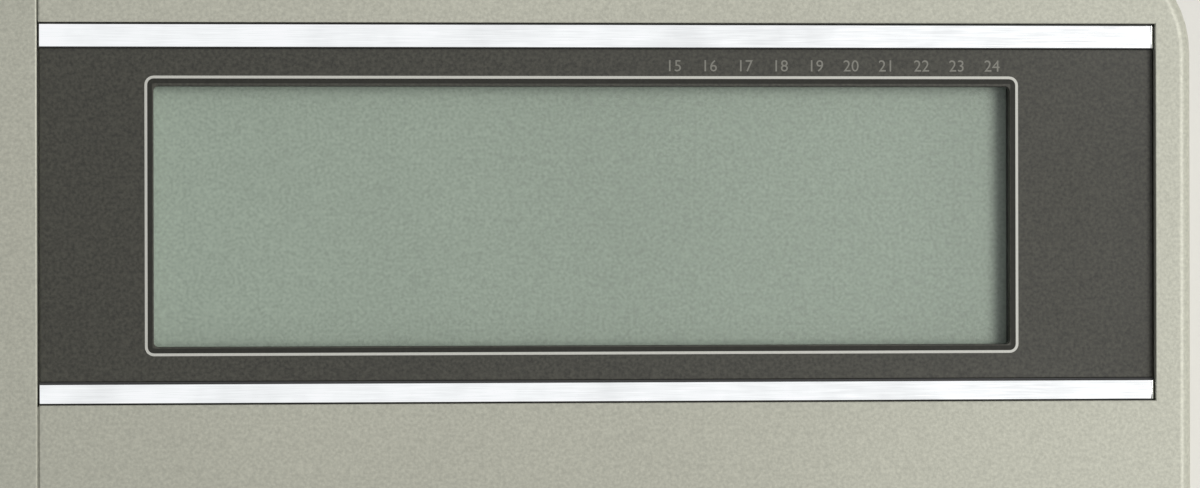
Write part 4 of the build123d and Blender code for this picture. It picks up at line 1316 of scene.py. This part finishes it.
@dataclass
class Casing:
    """The two shells, the cell door, the feet and the screws."""

    finishes: Finishes
    edge: float = 0.1 * MM
    seam_edge: float = 0.22 * MM
    seam_reach: float = 0.2 * MM
    parting_edge: float = 0.25 * MM
    door_edge: float = 0.2 * MM
    lip_gap: float = 0.01 * MM
    lip_width: float = 0.11 * MM
    lips: tuple[tuple[float, float, float], ...] = ((8.1, 28.2, -0.2), (66.4, 71.7, -0.45))
    lip_foot: float = -1.2 * MM
    foot_height: float = 1.6 * MM
    foot_sole: tuple[Pair, ...] = (
        (0, 0.2),
        (3.4, 0.2),
        (3.8, 0),
        (4.5, 0),
        (4.85, 0.12),
        (5, 0.45),
    )
    foot_places: tuple[Pair, ...] = ((-90, -60), (-90, 64), (90, -60), (90, 64))
    screw_places: tuple[Pair, ...] = (
        (-94, -67.9),
        (94, -67.9),
        (-97.6, 6),
        (-7, 66),
        (95.6, 66),
    )
    screw_end: float = -6.0 * MM
    head_rise: float = 2.6 * MM

    def make(self) -> None:
        """Builds and dresses the outside of the case."""
        seam = deck_box("printer_lid")[1].x
        past = seam + self.seam_reach
        beside_lid = Easing(self.seam_edge, -NEAR, NEAR, 3, clamp=False, left=seam, right=past)
        right_of_it = Easing(self.edge, -NEAR, NEAR, 3, clamp=False, left=past)
        left_of_it = Easing(self.edge, -NEAR, NEAR, 3, clamp=False, right=seam)
        rim = Easing(self.parting_edge, PARTING - NEAR, PARTING + NEAR)
        eased_copy("upper_case", self.finishes.shell, beside_lid, right_of_it, left_of_it, rim)
        self.seam_lips(seam)
        eased_copy("lower_case", self.finishes.shell, rim)
        eased_copy("battery_door", self.finishes.shell, Easing(self.door_edge))
        self.feet()
        self.screws()

    def seam_lips(self, seam: float) -> None:
        """The case's ledge that almost closes the seam beside the lid, lower behind the display.

        Args:
            seam: The X of the lid's right edge.
        """
        left, right = seam + self.lip_gap, seam + self.lip_width
        shape = bmesh.new()
        for front, rear, top in self.lips:
            deck_block(shape, (left, front * MM, self.lip_foot), (right, rear * MM, top * MM))
        finish_piece("seam_lips", shape, "case", self.finishes.shell)

    def feet(self) -> None:
        """Four round rubber feet, each with a shallow hollow in its sole."""
        top = self.foot_height / MM
        radius = self.foot_sole[-1][0]
        profile = (*self.foot_sole, (radius, top), (0, top))
        shape = bmesh.new()
        for x, y in self.foot_places:
            turned(shape, profile, Matrix.Translation((x * MM, y * MM, 0)), steps=40)
        stand_in("rubber_feet", shape, self.finishes.rubber)

    def screws(self) -> None:
        """The case screws, with crossed slots, their heads up in the underside's counterbores."""
        shape = bmesh.new()
        for x, v in self.screw_places:
            deck_level = DECK_HEIGHT + v * MM * math.sin(DECK_TILT)
            underside = (self.foot_height - deck_level) / math.cos(DECK_TILT)
            head_top = underside + self.head_rise
            shank = (self.screw_end - head_top) / MM
            crossed_screw(shape, shank, on_deck(x * MM, v * MM, head_top))
        stand_in("case_screws", shape, self.finishes.screw)


@dataclass
class Lid:
    """The printer's lid with its window, pins and tear bar."""

    finishes: Finishes
    edge: float = 0.2 * MM
    window_edge: float = 0.15 * MM

    def make(self) -> None:
        """Builds and dresses the lid."""
        top = Easing(self.edge, -NEAR, NEAR, segments=3, clamp=False)
        eased_copy("printer_lid", self.finishes.shell, top)
        eased_copy("lid_window", self.finishes.smoked, Easing(self.window_edge))
        eased_copy("lid_hinge_pins", self.finishes.rod)
        eased_copy("tear_bar", self.finishes.steel)


@dataclass
class Plotter:
    """The four-pen plotter under the lid."""

    finishes: Finishes
    chassis_edge: float = 0.08 * MM
    motor_edge: float = 0.2 * MM
    carriage_edge: float = 0.1 * MM
    turret_x: float = -78.2 * MM
    turret_level: float = -15.5 * MM
    pen_circle: float = 3.0 * MM
    pen_start: float = 15.4 * MM
    pen_barrel: tuple[Pair, ...] = (
        (0, 0),
        (1.1, 0),
        (1.3, 0.2),
        (1.3, 7.6),
        (1.18, 7.7),
        (1.18, 8.0),
        (1.3, 8.1),
        (1.3, 8.8),
    )
    pen_nose: tuple[Pair, ...] = (
        (0.75, 9.9),
        (0.7, 10.4),
        (0.3, 10.5),
        (0.25, 11.2),
        (0.12, 11.5),
        (0, 11.5),
    )

    def make(self) -> None:
        """Builds and dresses the plotter."""
        eased_copy("printer_chassis", self.finishes.steel, Easing(self.chassis_edge))
        for node in ("guide_rods", "pinch_rollers"):
            eased_copy(node, self.finishes.rod)
        for node in ("motor_pinion", "drum_gear", "drive_pulley", "idler_pulley", "pen_turret"):
            eased_copy(node, self.finishes.natural)
        for node in ("feed_motor", "carriage_motor"):
            eased_copy(node, self.finishes.can, Easing(self.motor_edge))
        for node in ("pen_carriage", "roll_spindle"):
            eased_copy(node, self.finishes.black, Easing(self.carriage_edge))
        eased_copy("feed_drum", self.finishes.drum)
        eased_copy("carriage_belt", self.finishes.rubber)
        low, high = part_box("paper_roll")
        wound = RollPaper("wound_paper", centre=tuple((low + high) / 2))
        eased_copy("paper_roll", wound.material())
        eased_copy("paper_web", self.finishes.paper)
        self.pens()

    def pens(self) -> None:
        """The four pens in the turret, each a barrel with a groove, a cone and a fine point."""
        colours = {
            "black_pen": linear(40, 40, 42),
            "blue_pen": linear(52, 78, 160),
            "green_pen": linear(44, 122, 76),
            "red_pen": linear(170, 48, 44),
        }
        for quarter, (node, colour) in enumerate(colours.items()):
            angle = math.radians(90 + 90 * quarter)
            x = self.turret_x + self.pen_circle * math.cos(angle)
            w = self.turret_level + self.pen_circle * math.sin(angle)
            place = on_deck(x, self.pen_start, w) @ REARWARDS
            shape = bmesh.new()
            turned(shape, self.pen_barrel + self.pen_nose, place, steps=28)
            stand_in(node, shape, self.finishes.ink(node, colour))


@dataclass
class Inside:
    """The boards, the cells and the sockets."""

    finishes: Finishes
    chip_edge: float = 0.1 * MM
    cell_edge: float = 0.4 * MM
    socket_edge: float = 0.15 * MM
    socket_height: float = 13.0 * MM
    jack_x: float = 84.0 * MM
    jack_mouth: float = 0.6 * MM
    jack_depth: float = 9.0 * MM
    pin_profile: tuple[Pair, ...] = (
        (0, 0),
        (0.55, 0),
        (0.55, 6.4),
        (0.45, 6.8),
        (0.2, 7),
        (0, 7),
    )
    port_x: float = 40.0 * MM
    port_face: float = 0.8 * MM
    port_pitch: float = 2.8 * MM
    spring_size: tuple[float, float, float] = (0.5 * MM, 1.6 * MM, 0.36 * MM)
    spring_depth: float = 1.1 * MM
    port_rows: tuple[tuple[float, int], ...] = ((-1.4 * MM, 7), (1.4 * MM, 8))

    def make(self) -> None:
        """Builds and dresses the inner parts and the rear sockets."""
        for node in ("main_board", "key_board"):
            eased_copy(node, self.finishes.board)
        eased_copy("soldered_parts", self.finishes.black, Easing(self.chip_edge))
        eased_copy("ribbon_cable", self.finishes.film)
        eased_copy("battery_cells", self.finishes.sleeve, Easing(self.cell_edge))
        eased_copy("battery_contacts", self.finishes.steel)
        eased_copy("adapter_socket", self.finishes.black, Easing(self.socket_edge))
        eased_copy("peripheral_port", self.finishes.black)
        eased_copy("dome_sheet", self.finishes.rubber)
        self.port_contacts()
        self.jack_pin()

    def port_contacts(self) -> None:
        """The gilt springs in the holes of the rear connector."""
        shape = bmesh.new()
        y = REAR_WALL - self.port_face - self.spring_depth
        for level, count in self.port_rows:
            for pin in range(count):
                x = self.port_x + (pin - (count - 1) / 2) * self.port_pitch
                place = Matrix.Translation((x, y, self.socket_height + level))
                block(shape, self.spring_size, place)
        finish_piece("port_contacts", shape, "case", self.finishes.contact)

    def jack_pin(self) -> None:
        """The pin in the middle of the power socket."""
        start = (self.jack_x, REAR_WALL - self.jack_mouth - self.jack_depth, self.socket_height)
        shape = bmesh.new()
        turned(shape, self.pin_profile, Matrix.Translation(start) @ REARWARDS, steps=20)
        finish_piece("jack_pin", shape, "case", self.finishes.rod)


class Arrow(Enum):
    """The cursor arrows, by the way that they point, in degrees from X."""

    RIGHT = 0
    UP = 90
    LEFT = 180
    DOWN = 270

    def shape(self, height: float, depth: float) -> bpy.types.Mesh:
        """Makes the arrow as a thin plate: a triangle on a short stem.

        Args:
            height: The arrow's length.
            depth: Its thickness.

        Returns:
            The mesh.
        """
        stem, wing = 0.07, 0.3
        outline = (
            (-0.5, -stem),
            (0, -stem),
            (0, -wing),
            (0.5, 0),
            (0, wing),
            (0, stem),
            (-0.5, stem),
        )
        mesh = plate_shape([(x * height, y * height) for x, y in outline], depth)
        mesh.transform(Matrix.Rotation(math.radians(self.value), 4, "Z"))
        return mesh


@dataclass(frozen=True)
class Legend:
    """A marking and the middle of the key that bears it."""

    mark: str | Arrow
    x: float
    v: float
    height: float

    def shape(self, depth: float) -> bpy.types.Mesh:
        """Makes the marking as a thin closed mesh.

        Args:
            depth: Its thickness.

        Returns:
            The mesh.
        """
        if isinstance(self.mark, Arrow):
            return self.mark.shape(self.height, depth)
        return text_shape(self.mark, self.height, depth)


@dataclass
class Keyboard:
    """The key panel, the keys with their legends, the power switch and the contrast wheel."""

    finishes: Finishes
    dish_radius: float = 15 * MM
    dish_depth: float = 0.45 * MM
    key_rise: float = 2.8 * MM
    pitch: float = 13.1 * MM
    first_column: float = -93.6 * MM
    first_row: float = -4.0 * MM
    keypad_column: float = 54.1 * MM
    function_row: float = 13.6 * MM
    function_first: float = 7.5 * MM
    function_pitch: float = 14.8 * MM
    function_count: int = 5
    switch_x: float = 93.0 * MM
    switch_word_shift: float = 2.4 * MM
    switch_word_rise: float = 3.6 * MM
    switch_edge: float = 0.12 * MM
    dial_edge: float = 0.1 * MM
    panel_edge: float = 0.1 * MM
    panel_levels: Pair = (-0.45 * MM, -0.35 * MM)
    key_edge: float = 0.25 * MM
    key_levels: Pair = (0.5 * MM, 5 * MM)
    letter_height: float = 2.6 * MM
    word_height: float = 1.45 * MM
    print_depth: float = 0.05 * MM
    grey_banks: tuple[str, ...] = (
        "function_keys",
        "shift_keys",
        "cursor_keys",
        "enter_key",
        "keypad_operator_keys",
    )
    dark_banks: tuple[str, ...] = (
        "number_keys",
        "upper_letter_keys",
        "home_letter_keys",
        "lower_letter_keys",
        "space_bar",
        "keypad_digit_keys",
    )

    def row(
        self, row: float, marks: Iterable[str | Arrow], column: int = 0, keypad: bool = False
    ) -> list[Legend]:
        """Markings for neighbouring keys of one row.

        Args:
            row: The row, from the rear, or halfway between two for a tall key.
            marks: The markings from left to right.
            column: The first one's column.
            keypad: Whether the columns are the keypad's.

        Returns:
            One legend for each marking.
        """
        first = self.keypad_column if keypad else self.first_column
        v = self.first_row - row * self.pitch
        legends = []
        for step, mark in enumerate(marks):
            word = isinstance(mark, str) and len(mark) > 1
            height = self.word_height if word else self.letter_height
            legends.append(Legend(mark, first + (column + step) * self.pitch, v, height))
        return legends

    def legends(self) -> dict[str, list[Legend]]:
        """Lists every marking of the keys.

        Returns:
            The markings, by the bank of keys that bears them.
        """
        digits = self.row(1, "789", keypad=True) + self.row(2, "456", keypad=True)
        digits += self.row(3, "123", keypad=True) + self.row(4, "0.=", keypad=True)
        operators = self.row(0, "C()÷", keypad=True) + self.row(1, "×", 3, keypad=True)
        operators += self.row(2, "−", 3, keypad=True) + self.row(3.5, "+", 3, keypad=True)
        function_marks = []
        for number in range(self.function_count):
            x = self.function_first + number * self.function_pitch
            function_marks.append(Legend(f"F{number + 1}", x, self.function_row, self.word_height))
        return {
            "function_keys": function_marks,
            "number_keys": self.row(0, "1234567890-"),
            "upper_letter_keys": self.row(1, "QWERTYUIOP="),
            "home_letter_keys": self.row(2, "ASDFGHJKL;"),
            "lower_letter_keys": self.row(3, "ZXCVBNM,./"),
            "shift_keys": self.row(4, ("SHIFT", "CTRL", "CAPS")),
            "cursor_keys": self.row(4, (Arrow.LEFT, Arrow.DOWN, Arrow.UP, Arrow.RIGHT), 7),
            "enter_key": self.row(2.5, ("ENTER",), 10),
            "keypad_digit_keys": digits,
            "keypad_operator_keys": operators,
        }

    def print_legends(self) -> None:
        """Lays each bank's markings into the hollow of its keys."""
        floor = self.key_rise - self.dish_depth + self.dish_radius
        for bank, legends in self.legends().items():
            shape = bmesh.new()
            for legend in legends:
                mesh = legend.shape(self.print_depth)
                for vert in mesh.vertices:
                    x, y, z = vert.co
                    level = floor - math.sqrt(self.dish_radius**2 - x * x)
                    vert.co = (x, y, level + z)
                add_mesh(shape, mesh, on_deck(legend.x, legend.v))
            body, slot = body_of(bank), slot_of(bank)
            finish_piece(f"{bank}_legends", shape, body, self.finishes.key_print)

    def switch_words(self) -> None:
        """The words behind the power switch's two places."""
        shape = bmesh.new()
        for words, side in (("OFF", -1), ("ON", 1)):
            mesh = text_shape(words, self.word_height, self.print_depth)
            x = self.switch_x + side * self.switch_word_shift
            add_mesh(shape, mesh, on_deck(x, self.function_row + self.switch_word_rise))
        finish_piece("switch_words", shape, "case", self.finishes.deck_print)

    def make(self) -> None:
        """Builds and dresses the keyboard."""
        self.print_legends()
        self.switch_words()
        panel_rim = Easing(self.panel_edge, *self.panel_levels)
        eased_copy("key_panel", self.finishes.panel, panel_rim)
        over_panel = Easing(self.key_edge, *self.key_levels, segments=3)
        for node in self.grey_banks:
            eased_copy(node, self.finishes.grey_keys, over_panel)
        for node in self.dark_banks:
            eased_copy(node, self.finishes.keys, over_panel)
        eased_copy("power_switch", self.finishes.black, Easing(self.switch_edge))
        eased_copy("contrast_dial", self.finishes.black, Easing(self.dial_edge))


# Studio


@dataclass
class Studio:
    """The floor, the pale surrounding, two soft lights from the right and the camera."""

    aim: Pair = (45.3 * MM, 44.2 * MM)
    view_width: float = 119.6 * MM
    camera_reach: float = 0.5
    camera_lean: float = math.radians(5.2)
    camera_roll: float = math.radians(-0.115)
    sensor: float = 36.0
    floor_half: float = 6.0
    key_offset: tuple[float, float, float] = (0.42, 0.06, 0.6)
    key_size: Pair = (0.58, 0.34)
    key_power: float = 4.05
    side_offset: tuple[float, float, float] = (1.6, 0.1, 0.4)
    side_size: Pair = (1.0, 0.48)
    side_power: float = 7.0
    lamp_colour: Colour = (1.0, 0.985, 0.955)
    sky_colour: Colour = (0.97, 0.98, 1.0)
    sky_level: float = 0.26
    seen_sky_level: float = 0.95
    floor_colour: Colour = linear(226, 225, 221)
    floor_cloud: float = 0.2
    floor_share: float = 0.01
    floor_roughness: float = 0.8

    def make(self) -> None:
        """Sets up everything that isn't part of the object."""
        self.floor()
        self.sky()
        self.soft_light("key_light", self.key_offset, self.key_size, self.key_power, mirrored=True)
        self.soft_light(
            "side_light", self.side_offset, self.side_size, self.side_power, mirrored=False
        )
        self.camera()
        bpy.context.scene.view_settings.view_transform = "Standard"

    def floor(self) -> None:
        """The pale floor that the feet stand on."""
        shape = bmesh.new()
        bmesh.ops.create_grid(shape, x_segments=1, y_segments=1, size=self.floor_half)
        mesh = bpy.data.meshes.new("floor")
        shape.to_mesh(mesh)
        shape.free()
        sheet = Sheet("pale_floor")
        cloud = sheet.noise(self.floor_cloud, sheet.place(), 2)
        colour = sheet.tint(self.floor_colour, sheet.swing(cloud, self.floor_share))
        mesh.materials.append(sheet.surface(Base_Color=colour, Roughness=self.floor_roughness))
        floor = bpy.data.objects.new("floor", mesh)
        bpy.context.scene.collection.objects.link(floor)

    def sky(self) -> None:
        """An even, pale surrounding: bright where it is seen or mirrored, lower where it lights."""
        world = bpy.data.worlds.new("studio")
        world.use_nodes = True
        bpy.context.scene.world = world
        nodes, links = world.node_tree.nodes, world.node_tree.links
        background = nodes["Background"]
        background.inputs["Color"].default_value = (*self.sky_colour, 1)
        rays = nodes.new("ShaderNodeLightPath").outputs
        seen = rays["Is Camera Ray"]
        for kind in ("Is Glossy Ray", "Is Transmission Ray"):
            either = nodes.new("ShaderNodeMath")
            either.operation = "MAXIMUM"
            links.new(seen, either.inputs[0])
            links.new(rays[kind], either.inputs[1])
            seen = either.outputs[0]
        level = nodes.new("ShaderNodeMapRange")
        level.inputs["To Min"].default_value = self.sky_level
        level.inputs["To Max"].default_value = self.seen_sky_level
        links.new(seen, level.inputs["Value"])
        links.new(level.outputs["Result"], background.inputs["Strength"])

    def soft_light(
        self,
        name: str,
        offset: Sequence[float],
        size: Sequence[float],
        power: float,
        mirrored: bool,
    ) -> None:
        """A wide lamp that faces the display.

        Args:
            name: The lamp's name.
            offset: Its place in the deck frame, from the point that the camera aims at.
            size: Its size across and along the way that it leans.
            power: Its power in watts.
            mirrored: Whether glossy surfaces mirror it.
        """
        lamp = bpy.data.lights.new(name, "AREA")
        lamp.shape = "ELLIPSE"
        lamp.size, lamp.size_y = size
        lamp.energy = power
        lamp.color = self.lamp_colour
        light = bpy.data.objects.new(name, lamp)
        target = on_deck(*self.aim).translation
        light.location = on_deck(*self.aim) @ Vector(offset)
        light.rotation_euler = (target - light.location).to_track_quat("-Z", "Y").to_euler()
        light.visible_camera = False
        light.visible_glossy = mirrored
        bpy.context.scene.collection.objects.link(light)

    def camera(self) -> None:
        """The camera over the display, a little to its left and turned back to it."""
        data = bpy.data.cameras.new("camera")
        data.sensor_width = self.sensor
        data.sensor_fit = "HORIZONTAL"
        data.lens = self.sensor * self.camera_reach / self.view_width
        camera = bpy.data.objects.new("camera", data)
        lean = Matrix.Rotation(-self.camera_lean, 4, "Y")
        roll = Matrix.Rotation(self.camera_roll, 4, "Z")
        reach = Matrix.Translation((0, 0, self.camera_reach))
        camera.matrix_world = on_deck(*self.aim) @ lean @ reach @ roll
        bpy.context.scene.collection.objects.link(camera)
        bpy.context.scene.camera = camera


def main() -> None:
    """Builds the studio and every sub-assembly, in order."""
    logging.basicConfig(level=logging.INFO, format="%(name)s %(message)s")
    Studio().make()
    finishes = Finishes()
    for part in (Casing, Display, Lid, Keyboard, Plotter, Inside):
        part(finishes).make()


if __name__ == "__main__":
    main()
